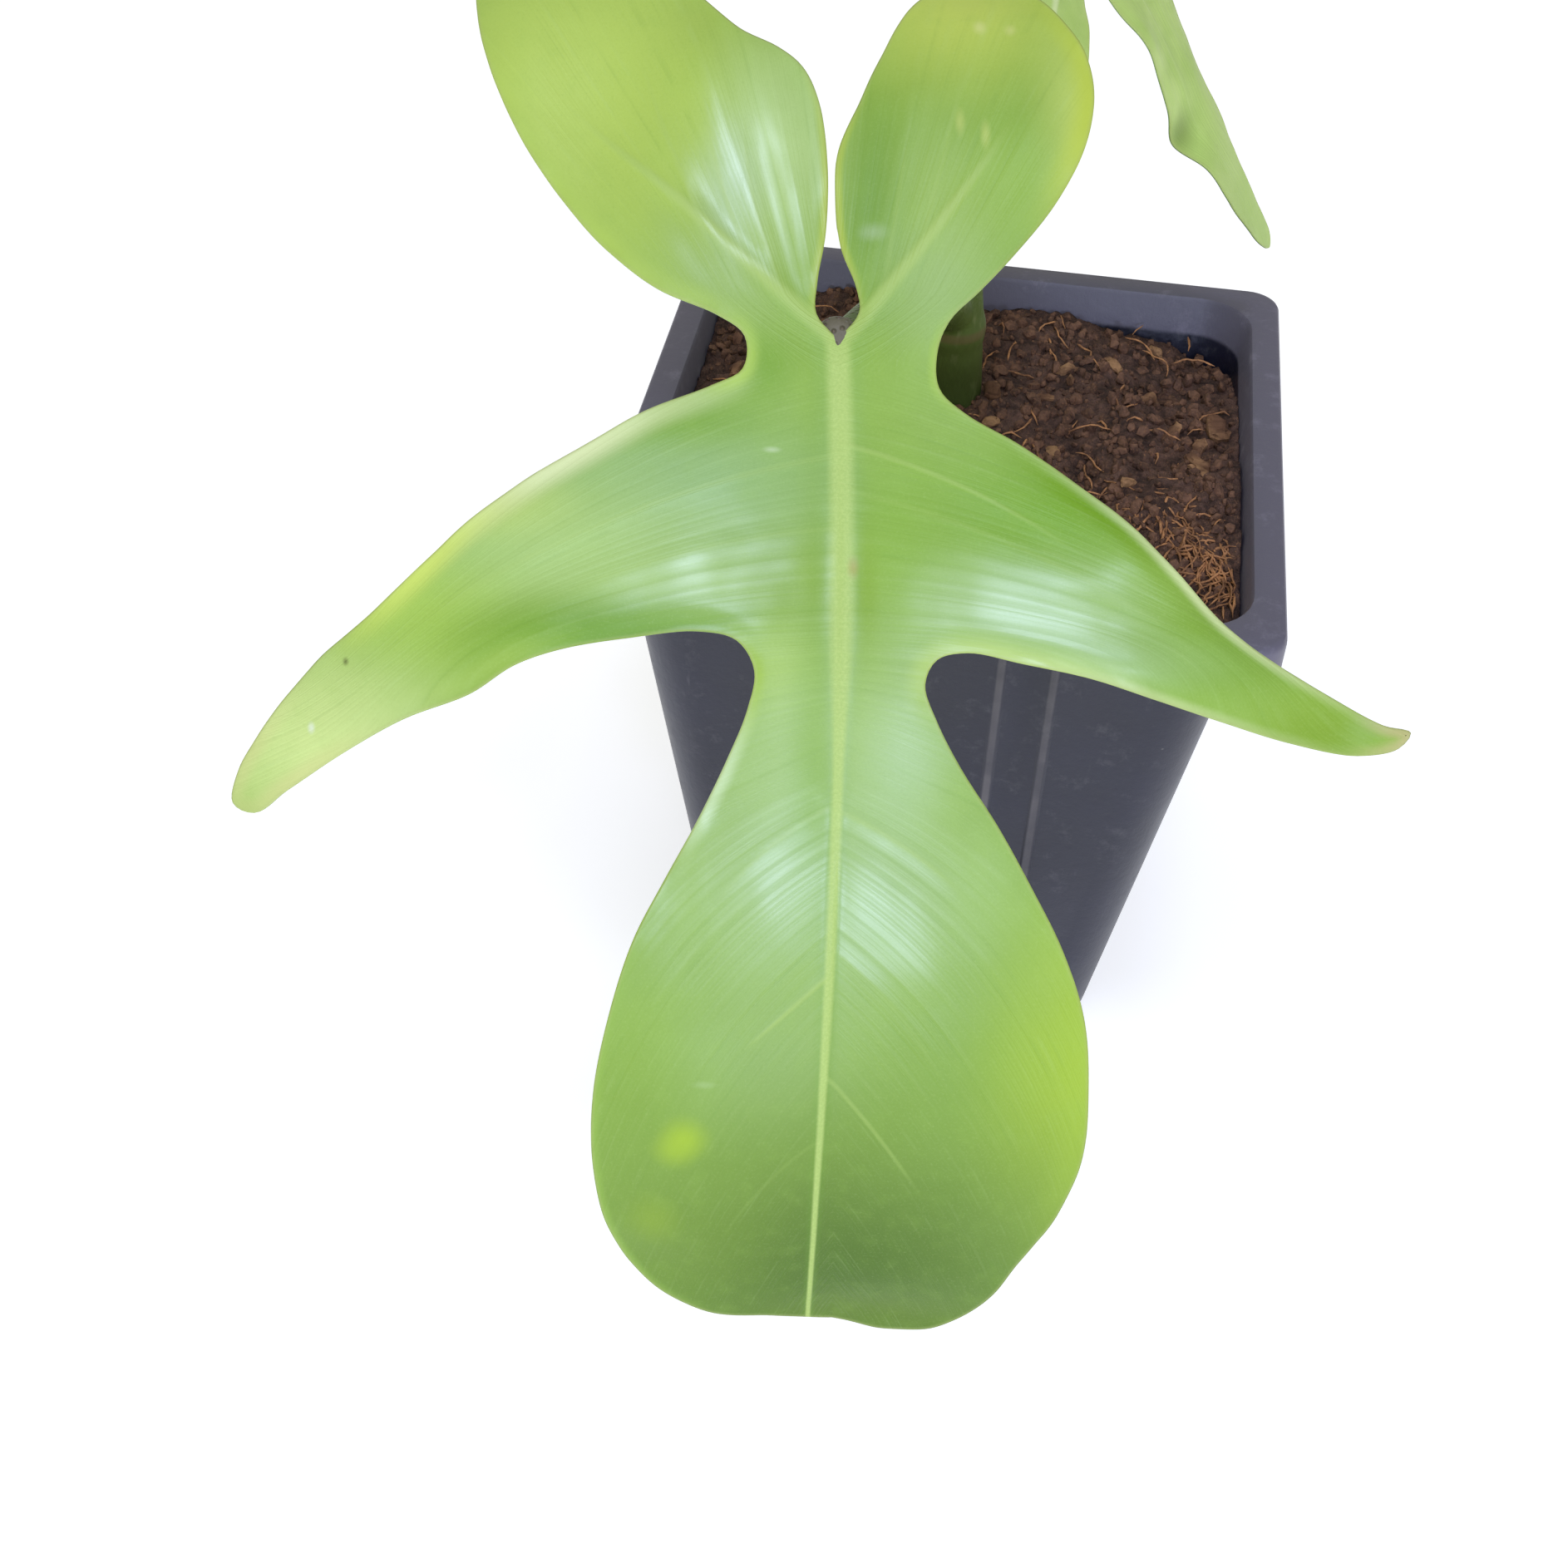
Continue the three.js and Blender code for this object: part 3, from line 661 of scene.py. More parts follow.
    def fibres(self, soil, inside):
        rng = random.Random(31)
        mat = smooth_path([(x, y, 0) for x, y in MAT_LINE], 0.6)
        curve = bpy.data.curves.new("fibre_lines", "CURVE")
        curve.dimensions = "3D"
        curve.bevel_depth = FIBRE_RADIUS * MM
        curve.bevel_resolution = 0
        curve.use_fill_caps = True
        for i in range(soil.fibres):
            if i % 5 < 3:
                x, y, _ = mat[rng.randrange(len(mat))]
                x, y = x + rng.gauss(0, 1.6), y + rng.gauss(0, 1.6)
                heading = rng.gauss(-0.95, 0.7)
            else:
                x, y = rng.uniform(-inside, inside), rng.uniform(-inside, inside)
                heading = rng.uniform(0, math.tau)
            length = rng.uniform(2.5, 9)
            steps = max(4, round(length / 0.9))
            lift = rng.uniform(0.1, 0.7)
            points = []
            for k in range(steps):
                x += math.cos(heading) * length / steps
                y += math.sin(heading) * length / steps
                heading += rng.gauss(0, 0.32)
                if not within_pot(x, y, inside - 0.6):
                    break
                arch = math.sin(math.pi * k / (steps - 1)) * lift * 1.6
                points.append((x, y, soil_height(soil.level, x, y) * 0.5 + (soil.level + 0.4) * 0.5 + arch))
            if len(points) < 4:
                continue
            spline = curve.splines.new("POLY")
            spline.points.add(len(points) - 1)
            for k, (point, place) in enumerate(zip(spline.points, points)):
                point.co = (*[c * MM for c in place], 1)
                point.radius = rng.uniform(0.7, 1.5) * (0.35 if k in (0, len(points) - 1) else 1)
        lines = bpy.data.objects.new("fibre_lines", curve)
        bpy.context.scene.collection.objects.link(lines)
        graph = bpy.context.evaluated_depsgraph_get()
        mesh = bpy.data.meshes.new_from_object(lines.evaluated_get(graph))
        bm = bmesh.new()
        bm.from_mesh(mesh)
        bpy.data.objects.remove(lines)
        bpy.data.curves.remove(curve)
        bpy.data.meshes.remove(mesh)
        make_piece("coir_fibres", bm, coir_finish(soil), scale=1)


# Blades. A flat point of a blade is (x across, y from the tip towards the stalk), in millimetres.

DEGREE = math.pi / 180
NOTCH = (0, 0)
TIP = (0, -113.2)
# The tip lobe begins below this y, inside this half width.
TIP_LOBE_FROM = -37
TIP_LOBE_HALF = 30
# How far the midrib wanders sideways: the factors of a cubic in -y / 100.
MIDRIB = (4.0, -10.5, 4.2)
LOBE_CROWN = 0.75
MARGIN_STRIPS = (0.22, 0.4)
MIDDLE_STEP = 0.35
RIGHT_EDGE = [
    (2.2, 2.8), (1.9, 5.4), (0.3, 9.8), (-0.2, 15), (0.1, 20.5), (2.4, 26), (4.7, 31.3), (7.8, 37.6),
    (10.6, 41), (14.6, 43), (19.5, 41.2), (23.6, 36.4), (26.3, 31), (26.9, 26), (25.6, 19.8),
    (22.6, 14), (18.2, 8.5), (14.5, 4.6), (11.6, 1.8), (10.3, -1.2), (10.4, -5.2), (13, -7.8),
    (18.2, -10.8), (24.1, -14.8), (29.7, -19.1), (34.7, -24.2), (39.8, -29.3), (45.8, -33.6),
    (52.5, -37.3), (57.5, -39.8), (60.6, -40.6), (59.4, -42.4), (54.8, -43.1), (47, -41.6),
    (39.8, -39.4), (32.7, -37.1), (25.8, -34.9), (18.9, -33.4), (13.4, -32.3), (10.2, -33),
    (9, -35.5), (10.2, -39.2), (12.7, -44), (16.6, -50), (20.2, -56.4), (23.6, -63.1),
    (26.1, -70.5), (27, -78.6), (26.9, -87.2), (24.8, -94.6), (20.8, -101.8), (16.4, -109.5),
    (11.4, -113.7), (6, -114.5),
]
LEFT_EDGE = [
    (-2.2, 2.6), (-2.1, 6), (-1.2, 11.3), (-1, 18.7), (-1.8, 25.8), (-3.6, 30.2), (-6.2, 32.4),
    (-10.3, 34.2), (-14.5, 38.6), (-20, 45), (-26, 51.5), (-31.5, 54.5), (-36, 52.5), (-38.6, 47),
    (-38.8, 40), (-36.9, 31), (-33.4, 22.5), (-29, 15.5), (-24.2, 9.6), (-18.6, 5), (-12.6, 2.4),
    (-9.6, 0.2), (-9.8, -3.2), (-12.9, -4.9), (-19.5, -7.4), (-25.7, -10.8), (-31.9, -14.3),
    (-37.8, -18.4), (-43.4, -23.1), (-49.1, -27.9), (-55.2, -32.7), (-60.7, -38.6),
    (-65.4, -45.2), (-66.4, -49.2), (-63.6, -50.2), (-59.4, -47.4), (-52.3, -42.9),
    (-45.4, -39.1), (-38.3, -36.5), (-33.4, -33.6), (-28.5, -32), (-21.5, -30.8), (-14.4, -30.1),
    (-10.4, -31), (-8.6, -34), (-9.3, -38), (-11.4, -43.1), (-14.5, -49.4), (-18, -55.7),
    (-21.4, -62.3), (-24.3, -71.5), (-26, -80), (-26.3, -89), (-24.6, -99), (-20.6, -106.3),
    (-14.2, -110.2), (-7, -111.2),
]

# The way each blade is folded, curved and waved, and where it sits: the values of the part's solids.
FRONT = {
    "fold": 8 * DEGREE, "droop_left": 0.0085, "droop_right": 0.0075, "tip_from": 30,
    "tip_bend": 0.0078, "back_from": 6, "back_bend": 0.009, "lobe": (1, 1, 1),
    "waves": [
        (36, -23, 10, 6, 1.8), (50, -35, 8, 4, 1.4), (60, -40, 5, 4, 2.4), (31, -34, 9, 5, 0.9),
        (-30, -30, 7, 5, 1.2), (-42, -37, 6, 5, -1), (-53, -42, 6, 5, 1), (-38, -20, 9, 6, 0.8),
        (-24, 24, 6, 12, -1.1), (-13, 29, 6, 9, 1.4), (-34, 36, 5, 12, 1.2),
        (15, 43, 9, 6, -2), (22, 22, 6, 9, 0.8), (8, 24, 5, 9, 0.8),
        (-13, -82, 8, 14, 0.9), (14, -80, 8, 15, 1), (-22, -104, 8, 7, -1.2), (6, -112, 10, 5, -1.2),
    ],
    "size": 1.0, "at": (-10.9, -66.9, 140.8), "turn": (10.7, 47.3, -2.6),
}
BACK = {
    "fold": 6 * DEGREE, "droop_left": 0.004, "droop_right": 0.004, "tip_from": 20,
    "tip_bend": 0.002, "back_from": 6, "back_bend": 0.009, "lobe": (0.83, 0.92, 0.85),
    "waves": [
        (-42, -21, 6, 6, -3.6), (-24, -10, 8, 6, 2.2), (38, -24, 9, 7, 2), (14, -80, 8, 15, 1.4),
    ],
    "size": 0.76, "at": (5.6, 20.1, 152.8), "turn": (155, 11.8, -56.3),
}

# Veins as arcs through three flat points, with their width at each end and how plainly they show.
VEINS = [
    ((-0.6, 0.2), (-13, 11.3), (-28.5, 26), 1.5, 0.4, 0.95),
    ((0.8, 0.2), (8.2, 8.9), (18.5, 23.5), 1.5, 0.5, 0.95),
    ((0.6, -10.8), (11, -14.6), (25, -22.6), 0.4, 0.2, 0.45),
    ((0.6, -15.5), (17, -21), (38, -33), 0.4, 0.2, 0.15),
    ((-0.4, -12), (-22, -18.3), (-46, -31), 0.45, 0.2, 0.2),
    ((-0.4, -19.5), (-14, -21.7), (-34, -29), 0.4, 0.2, 0.15),
    ((0.4, -48.6), (6, -51.6), (14, -58), 0.4, 0.25, 0.3),
    ((-0.8, -48.2), (-7, -52.2), (-13.5, -59.5), 0.4, 0.2, 0.2),
    ((-1.2, -66.6), (-5.2, -70.2), (-10.4, -74.6), 0.4, 0.25, 0.6),
    ((-0.9, -63), (5.5, -69), (12, -79), 0.35, 0.2, 0.12),
    ((-1.2, -77.8), (3.8, -83.9), (9.6, -92.6), 0.35, 0.25, 0.4),
    ((-2, -86), (-8, -91.5), (-13, -100), 0.3, 0.2, 0.12),
    ((-5.5, 5), (-8.4, 13), (-9.6, 26), 0.4, 0.2, 0.3),
    ((-9.2, 8.2), (-12.6, 18.5), (-14.4, 31), 0.45, 0.2, 0.3),
    ((-14, 12.3), (-17.6, 21), (-20.6, 31), 0.4, 0.2, 0.3),
    ((4.6, 4.2), (6.2, 14), (8.2, 28), 0.4, 0.2, 0.2),
    ((8.2, 8.8), (11, 19), (14, 33), 0.4, 0.2, 0.2),
]


def midrib_at(y):
    """How far the midrib wanders to the right of the blade's fold, at a flat y."""
    share = np.clip(-y / 100, 0, 1.13)
    return sum(factor * share ** power for power, factor in enumerate(MIDRIB, 1))


def midrib_width(y):
    """Half the midrib's width at a flat y."""
    return np.interp(-y, [-1, 0, 4, 30, 45, 75, 112], [0.5, 1.3, 1.35, 1.15, 0.6, 0.5, 0.22])


def arc_through(a, b, c):
    """Centre and radius of the circle through three flat points."""
    (ax, ay), (bx, by), (cx, cy) = a, b, c
    d = 2 * (ax * (by - cy) + bx * (cy - ay) + cx * (ay - by))
    a2, b2, c2 = ax * ax + ay * ay, bx * bx + by * by, cx * cx + cy * cy
    x = (a2 * (by - cy) + b2 * (cy - ay) + c2 * (ay - by)) / d
    y = (a2 * (cx - bx) + b2 * (ax - cx) + c2 * (bx - ax)) / d
    return (x, y), math.hypot(ax - x, ay - y)


def smoothstep(value, low, high):
    share = np.clip((value - low) / (high - low), 0, 1)
    return share * share * (3 - 2 * share)


def curl(length, bend):
    """How far a strip reaches and falls when it is bent evenly along its length."""
    return np.sin(bend * length) / bend, (1 - np.cos(bend * length)) / bend


def bend_points(x, y, form):
    """Where flat points end up when the blade is folded, its sides droop and its ends hang."""
    bow = np.where(x < 0, form["droop_left"], form["droop_right"])
    turn = bow * np.abs(x) - form["fold"]
    run = (np.sin(turn) + math.sin(form["fold"])) / bow
    rise = (np.cos(turn) - math.cos(form["fold"])) / bow
    for cx, cy, rx, ry, high in form["waves"]:
        rise = rise + high * np.exp(-((x - cx) / rx) ** 2 - ((y - cy) / ry) ** 2)
    ahead = np.maximum(0, -y - form["tip_from"])
    behind = np.maximum(0, form["back_from"] + y)
    ahead_run, ahead_fall = curl(ahead, form["tip_bend"])
    behind_run, behind_fall = curl(behind, form["back_bend"])
    pitch = ahead * form["tip_bend"] - behind * form["back_bend"]
    along = np.clip(-y, form["back_from"], form["tip_from"]) + ahead_run - behind_run
    return np.stack([
        np.sign(x) * run,
        -along - np.sin(pitch) * rise,
        np.cos(pitch) * rise - ahead_fall - behind_fall,
    ], axis=-1)


def blade_turn(form):
    """The rotation of a blade: its heading, slope and roll."""
    turn = Matrix.Identity(4)
    for angle, axis in zip(form["turn"], "ZXY"):
        turn = turn @ Matrix.Rotation(angle * DEGREE, 4, axis)
    return turn


def blade_place(form):
    """The matrix that puts a bent blade where it grows."""
    return Matrix.Translation(form["at"]) @ blade_turn(form) @ Matrix.Scale(form["size"], 4)


def outline_half(edge, form):
    """One half of a blade's outline, with its tip and back lobes scaled as the form says."""
    width, length, back = form["lobe"]
    path = []
    for x, y in (NOTCH, *edge, TIP):
        if y > 0:
            path.append((x, y * back))
        elif abs(x) > TIP_LOBE_HALF or y > TIP_LOBE_FROM:
            path.append((x, y))
        else:
            path.append((x * width, TIP_LOBE_FROM + (y - TIP_LOBE_FROM) * length))
    return smooth_path(path, 0.7)


def lobe_centre(side):
    """The flat y of a side lobe's middle line, at a distance from the midrib."""
    return -17 - 0.13 * side - 0.0052 * side ** 2


def grain_at(x, y):
    """A number that stays the same along the fine veins: they run off the midrib towards the tip,
    along the side lobes and fan out in the back lobes."""
    side = np.abs(x)
    slant = 0.45 + 0.022 * np.maximum(0, -48 - y)
    tip = y + slant * side
    centre = lobe_centre(side)
    half = 17 * (1 - np.minimum(side / 66, 0.97) ** 1.3)
    lobe = -17 + 13 * (y - centre) / half
    fan = 40 * np.arctan2(side + 2, y + 18) - 30
    low = smoothstep(-y, 30, 42)
    high = smoothstep(y, -5, 5)
    return lobe * (1 - low) * (1 - high) + tip * low + fan * high


def vein_relief(x, y, grain):
    """How high the veins and the pleats between them stand on the upper face, in millimetres."""
    off = x - midrib_at(y)
    width = midrib_width(y)
    started = smoothstep(-y, -2, 3)
    ridge = started * 0.15 * np.exp(-(off / (0.85 * width)) ** 2)
    groove = 0.01 + 0.04 * smoothstep(y, -50, -36)
    ridge -= started * groove * np.exp(-((np.abs(off) - 2 * width) / 1.2) ** 2)
    for a, b, c, wide, narrow, _ in VEINS:
        (cx, cy), radius = arc_through(a, b, c)
        away = np.abs(np.hypot(x - cx, y - cy) - radius)
        chord = (c[0] - a[0], c[1] - a[1])
        share = ((x - a[0]) * chord[0] + (y - a[1]) * chord[1]) / (chord[0] ** 2 + chord[1] ** 2)
        inside = smoothstep(share, -0.03, 0.04) * smoothstep(-share, -1.12, -0.8)
        size = wide + (narrow - wide) * np.clip(share, 0, 1)
        rise = 0.13 * size * np.exp(-(away / (0.5 * size + 0.3)) ** 2)
        side = 0.07 * np.sqrt(size) * np.exp(-((away - 0.5 * size - 1.1) / 1.3) ** 2)
        ridge += inside * (rise - side)
    back = smoothstep(y, 3, 12)
    left_fan = 0.13 * np.sin(grain * 1.05) * back * smoothstep(-x, 1, 4) * smoothstep(x, -24, -14)
    right_fan = 0.05 * np.sin(grain * 1.7) * back * smoothstep(x, 1, 4)
    sides = smoothstep(np.abs(x), 4, 12) * smoothstep(-y, 6, 12) * smoothstep(y, -36, -31)
    crown = np.maximum(0, 1 - ((y - lobe_centre(np.abs(x))) / 13) ** 2)
    crown *= smoothstep(np.abs(x), -4, 20) * smoothstep(-np.abs(x), -52, -28)
    pleats = 0.05 * np.sin(grain * 0.9) * sides
    return ridge + left_fan + right_fan + pleats + LOBE_CROWN * crown


def blade_sheet(form, thickness, grid):
    """A flat blade: its outline with two strips along the edge, cut into a grid and given its thickness."""
    right = outline_half(RIGHT_EDGE, form)
    left = outline_half(LEFT_EDGE, form)
    outline = right[:-1] + left[::-1][:-1]
    bm = bmesh.new()
    blade = bm.faces.new([bm.verts.new((p[0], p[1], 0)) for p in outline])
    blade.normal_update()
    if blade.normal.z < 0:
        blade.normal_flip()
    for strip in MARGIN_STRIPS:
        bmesh.ops.inset_region(bm, faces=[blade], thickness=strip, use_boundary=True, use_even_offset=True)
    margin = set(bm.faces) - {blade}
    reach = [max(abs(p[i]) for p in outline) for i in range(2)]
    for axis in (0, 1):
        steps = []
        place = 0.0
        while place < reach[axis] + 1:
            steps.append(place)
            place += grid if axis or place > 3 else MIDDLE_STEP
        uncut = [face for face in bm.faces if face not in margin]
        for place in sorted({-s for s in steps} | set(steps)):
            reached = [face for face in uncut if min(v.co[axis] for v in face.verts) < place]
            faces = [face for face in reached if max(v.co[axis] for v in face.verts) > place]
            if not faces:
                continue
            beyond = set(uncut) - set(reached)
            geom = list({item for f in faces for item in (*f.verts, *f.edges)}) + faces
            normal = (1, 0, 0) if axis == 0 else (0, 1, 0)
            point = (place, 0, 0) if axis == 0 else (0, place, 0)
            made = bmesh.ops.bisect_plane(bm, geom=geom, dist=0.08, plane_co=point, plane_no=normal)["geom"]
            made = {item for item in made if isinstance(item, bmesh.types.BMFace)} | set(faces)
            beyond |= {face for face in made if face.calc_center_median()[axis] > place}
            uncut = list(beyond)
    many = [face for face in bm.faces if len(face.verts) > 4]
    bmesh.ops.triangulate(bm, faces=many)
    bmesh.ops.recalc_face_normals(bm, faces=bm.faces)
    if next(iter(bm.faces)).normal.z < 0:
        bmesh.ops.reverse_faces(bm, faces=bm.faces)
    bmesh.ops.solidify(bm, geom=bm.faces, thickness=thickness)
    return bm, np.array([(p[0], p[1]) for p in outline])


def edge_distance(spots, outline):
    """The distance of flat points from the outline. The two faces of a blade share their flat points."""
    places, shared = np.unique(spots, axis=0, return_inverse=True)
    nearest = np.full(len(places), np.inf)
    for start, run in zip(outline, np.roll(outline, -1, axis=0) - outline):
        share = np.clip((places - start) @ run / (run @ run), 0, 1)
        away = ((places - start - share[:, None] * run) ** 2).sum(1)
        np.minimum(nearest, away, out=nearest)
    return np.sqrt(nearest)[shared]


def flat_noise(x, y, size, level):
    """Noise over a blade's flat points, with lumps of about that size in millimetres."""
    return np.array([noise.noise((a / size, b / size, level)) for a, b in zip(x, y)])


def blade_piece(name, form, settings, finish, node):
    """A leaf blade with its relief, bent and placed. Its flat place, distance from the edge and grain stay
    on it as attributes for the material."""
    thickness = settings.blade / form["size"]
    bm, outline = blade_sheet(form, thickness, settings.grid)
    bm.verts.ensure_lookup_table()
    flat = np.array([vert.co[:] for vert in bm.verts])
    x, y = flat[:, 0], flat[:, 1]
    depth = np.clip(np.abs(flat[:, 2]) / thickness, 0, 1)
    if np.mean(flat[:, 2]) > 0:
        depth = 1 - depth
    edge = edge_distance(flat[:, :2], outline)
    inner = smoothstep(edge, 0.1, 2.5)
    grain = grain_at(x, y)
    waves = 0.12 * flat_noise(x, y, 7, 4.2) + 0.02 * flat_noise(x, y, 2.6, 1.7)
    top = (vein_relief(x, y, grain) + waves) * inner
    top += 0.18 * (1 - smoothstep(edge, 0, 1.4)) * flat_noise(x, y, 4, 8.8)
    thin = 0.62 + 0.38 * smoothstep(edge, 0, 3)
    keel = 1.3 * np.exp(-(x - midrib_at(y)) ** 2) * smoothstep(-y, 1, 10) * (1 + y / 125)
    under = -thickness * thin - keel * inner + 0.6 * top
    offset = top * (1 - depth) + under * depth
    middle = bend_points(x, y, form)
    across = bend_points(x + 0.05, y, form) - bend_points(x - 0.05, y, form)
    along = bend_points(x, y + 0.05, form) - bend_points(x, y - 0.05, form)
    facing = np.cross(across, along)
    facing /= np.linalg.norm(facing, axis=1)[:, None]
    spots = middle + offset[:, None] * facing
    place = blade_place(form)
    flat_layer = bm.verts.layers.float_vector.new("flat")
    edge_layer = bm.verts.layers.float.new("edge")
    grain_layer = bm.verts.layers.float.new("grain")
    for i, vert in enumerate(bm.verts):
        vert.co = place @ Vector(spots[i])
        vert[flat_layer] = (x[i], y[i], depth[i])
        vert[edge_layer] = edge[i]
        vert[grain_layer] = grain[i]
    return make_piece(name, bm, finish, node)


def vein_mask(leaf, flat, vein):
    """A soft line along one vein."""
    a, b, c, wide, narrow, plain = vein
    centre, radius = arc_through(a, b, c)
    away = abs(leaf.vector("DISTANCE", flat, (*centre, 0)) - radius)
    chord = Vector((c[0] - a[0], c[1] - a[1], 0))
    along = chord / chord.length_squared
    start = along.dot((*a, 0))
    share = leaf.vector("DOT_PRODUCT", flat, tuple(along))
    inside = share.ramp(start - 0.03, start + 0.02, 0, plain) * share.ramp(start + 0.55, start + 1.05, 1, 0)
    taper = 0.5 * (narrow - wide)
    size = share.times_plus(taper, 0.5 * wide + 0.08 - start * taper)
    return inside * (away / size).ramp(0.2, 1.7, 1, 0)


def patch_mask(leaf, flat, x, y, rx, ry, strength=1.0):
    """A soft oval patch on the flat blade."""
    scaled = leaf.vector("MULTIPLY_ADD", flat, (1 / rx, 1 / ry, 0), (-x / rx, -y / ry, 0))
    return leaf.vector("LENGTH", scaled).ramp(0, PATCH_REACH, strength, 0)


def margin_mask(leaf, flat, edge, oval, width, strength):
    """A band along the blade's edge, inside a soft oval."""
    return edge.ramp(0.2 * width, width, 1, 0) * patch_mask(leaf, flat, *oval, strength)


def vein_masks(leaf, flat):
    """All the side veins as one mask, and the plainer ones alone."""
    veins = bold = None
    for line in sorted(VEINS, key=lambda vein: vein[-1], reverse=True):
        mask = vein_mask(leaf, flat, line)
        veins = mask if veins is None else veins.most(mask)
        if line[-1] >= BOLD_VEIN:
            bold = veins
    return veins, bold


def midrib_masks(x, y):
    """The midrib, and the deeper green along its sides."""
    share = (y * -0.01).most(0.0)
    first, second, third = MIDRIB
    wander = share * share.times_plus(third, second).times_plus(share, first)
    width = y.ramp(-46, -26, 0, 0.65) + y.ramp(-112, -50, 0.28, 0.56)
    off = abs(x - wander) / width
    started = y.ramp(2.5, -1.0)
    rib = off.ramp(0.4, 1.5, 1, 0) * started
    return rib, off.ramp(1.0, 3.6, 1, 0) * started * (1 - rib)


def blade_finish(name, green, vein, settings, patches, margins, specks, glossy):
    """Leaf green with yellow zones, pale veins, fine streaks, a cream margin and waxy places; some zones
    hold painted sheen and painted shade.
    """
    leaf = Finish(name, specular_ior_level=0.4, coat_roughness=0.25)
    place = leaf.attribute("flat", vector=True)
    x, y, depth = leaf.split(place)
    flat = leaf.vector("MULTIPLY", place, (1, 1, 0))
    edge = leaf.attribute("edge")
    cloud = leaf.noise(flat, 0.09, 3, 0.55)
    blotch = leaf.noise(flat, 0.35, 4, 0.6)
    pores = leaf.noise(flat, 3.2, 4, 0.7)
    streaks = leaf.streaks(leaf.attribute("grain"), 1.1, 3)
    wisps = leaf.noise(flat, 0.22, 2).ramp(0.35, 0.65)
    color = leaf.mix(cloud.ramp(0.3, 0.7) * 0.5, tuple(green), tuple(settings.lime))
    for *oval, tint, share in patches:
        color = leaf.mix(patch_mask(leaf, flat, *oval, share), color, tint)
    color = leaf.mix(blotch.ramp(0.45, 0.75) * 0.12, color, tuple(settings.lime))
    color = leaf.mix(streaks.ramp(0.5, 0.75) * wisps * 0.09, color, rgb(184, 212, 134))
    color = leaf.mix(streaks.ramp(0.48, 0.28) * wisps * 0.14, color, rgb(108, 150, 52))
    color = leaf.mix(pores.ramp(0.5, 0.75, 0, 0.12), color, rgb(192, 216, 140))
    color = leaf.mix(pores.ramp(0.48, 0.3, 0, 0.1), color, rgb(104, 146, 48))
    for *oval, width, tint, share in margins:
        color = leaf.mix(margin_mask(leaf, flat, edge, oval, width, share), color, tint)
    veins, bold = vein_masks(leaf, flat)
    rib, beside = midrib_masks(x, y)
    color = leaf.mix(beside * 0.2, color, rgb(112, 156, 44))
    color = leaf.mix(veins * 0.75, color, tuple(vein))
    color = leaf.mix(rib * 0.85, color, leaf.mix(pores.ramp(0.35, 0.7), tuple(vein), rgb(188, 210, 116)))
    rim = edge.ramp(0.0, 0.5, 1, 0)
    color = leaf.mix(rim * 0.35, color, rgb(176, 184, 110))
    for *oval, tint, share in specks:
        color = leaf.mix(patch_mask(leaf, flat, *oval, share), color, tint)
    under = leaf.mix(blotch * 0.5, rgb(142, 172, 104), rgb(160, 188, 116))
    under = leaf.mix((rib + veins * 0.5) * 0.6, under, rgb(178, 200, 128))
    color = leaf.mix(depth.ramp(0.4, 0.6), color, under)
    gloss = patch_mask(leaf, flat, *glossy[0])
    for zone in glossy[1:]:
        gloss = gloss.most(patch_mask(leaf, flat, *zone))
    gloss = gloss * (1 - rib * 0.8) * (1 - depth)
    wax = gloss * (0.45 + streaks.ramp(0.35, 0.62) * 0.5)
    rough = 0.34 - wax * 0.12 + blotch * 0.1 + streaks * 0.06 + rib * 0.1 + depth * 0.12
    shallow = leaf.bump(pores, 0.000008)
    relief = streaks + bold * 0.8 + rib * 0.3
    leaf.set(base_color=color, roughness=rough, coat_weight=wax,
             normal=leaf.bump(relief, 0.00007, shallow))
    return leaf.material


# A patch fades out at this many times its half sizes, and the bump shows veins at least this plain.
PATCH_REACH = 1.3
BOLD_VEIN = 0.3
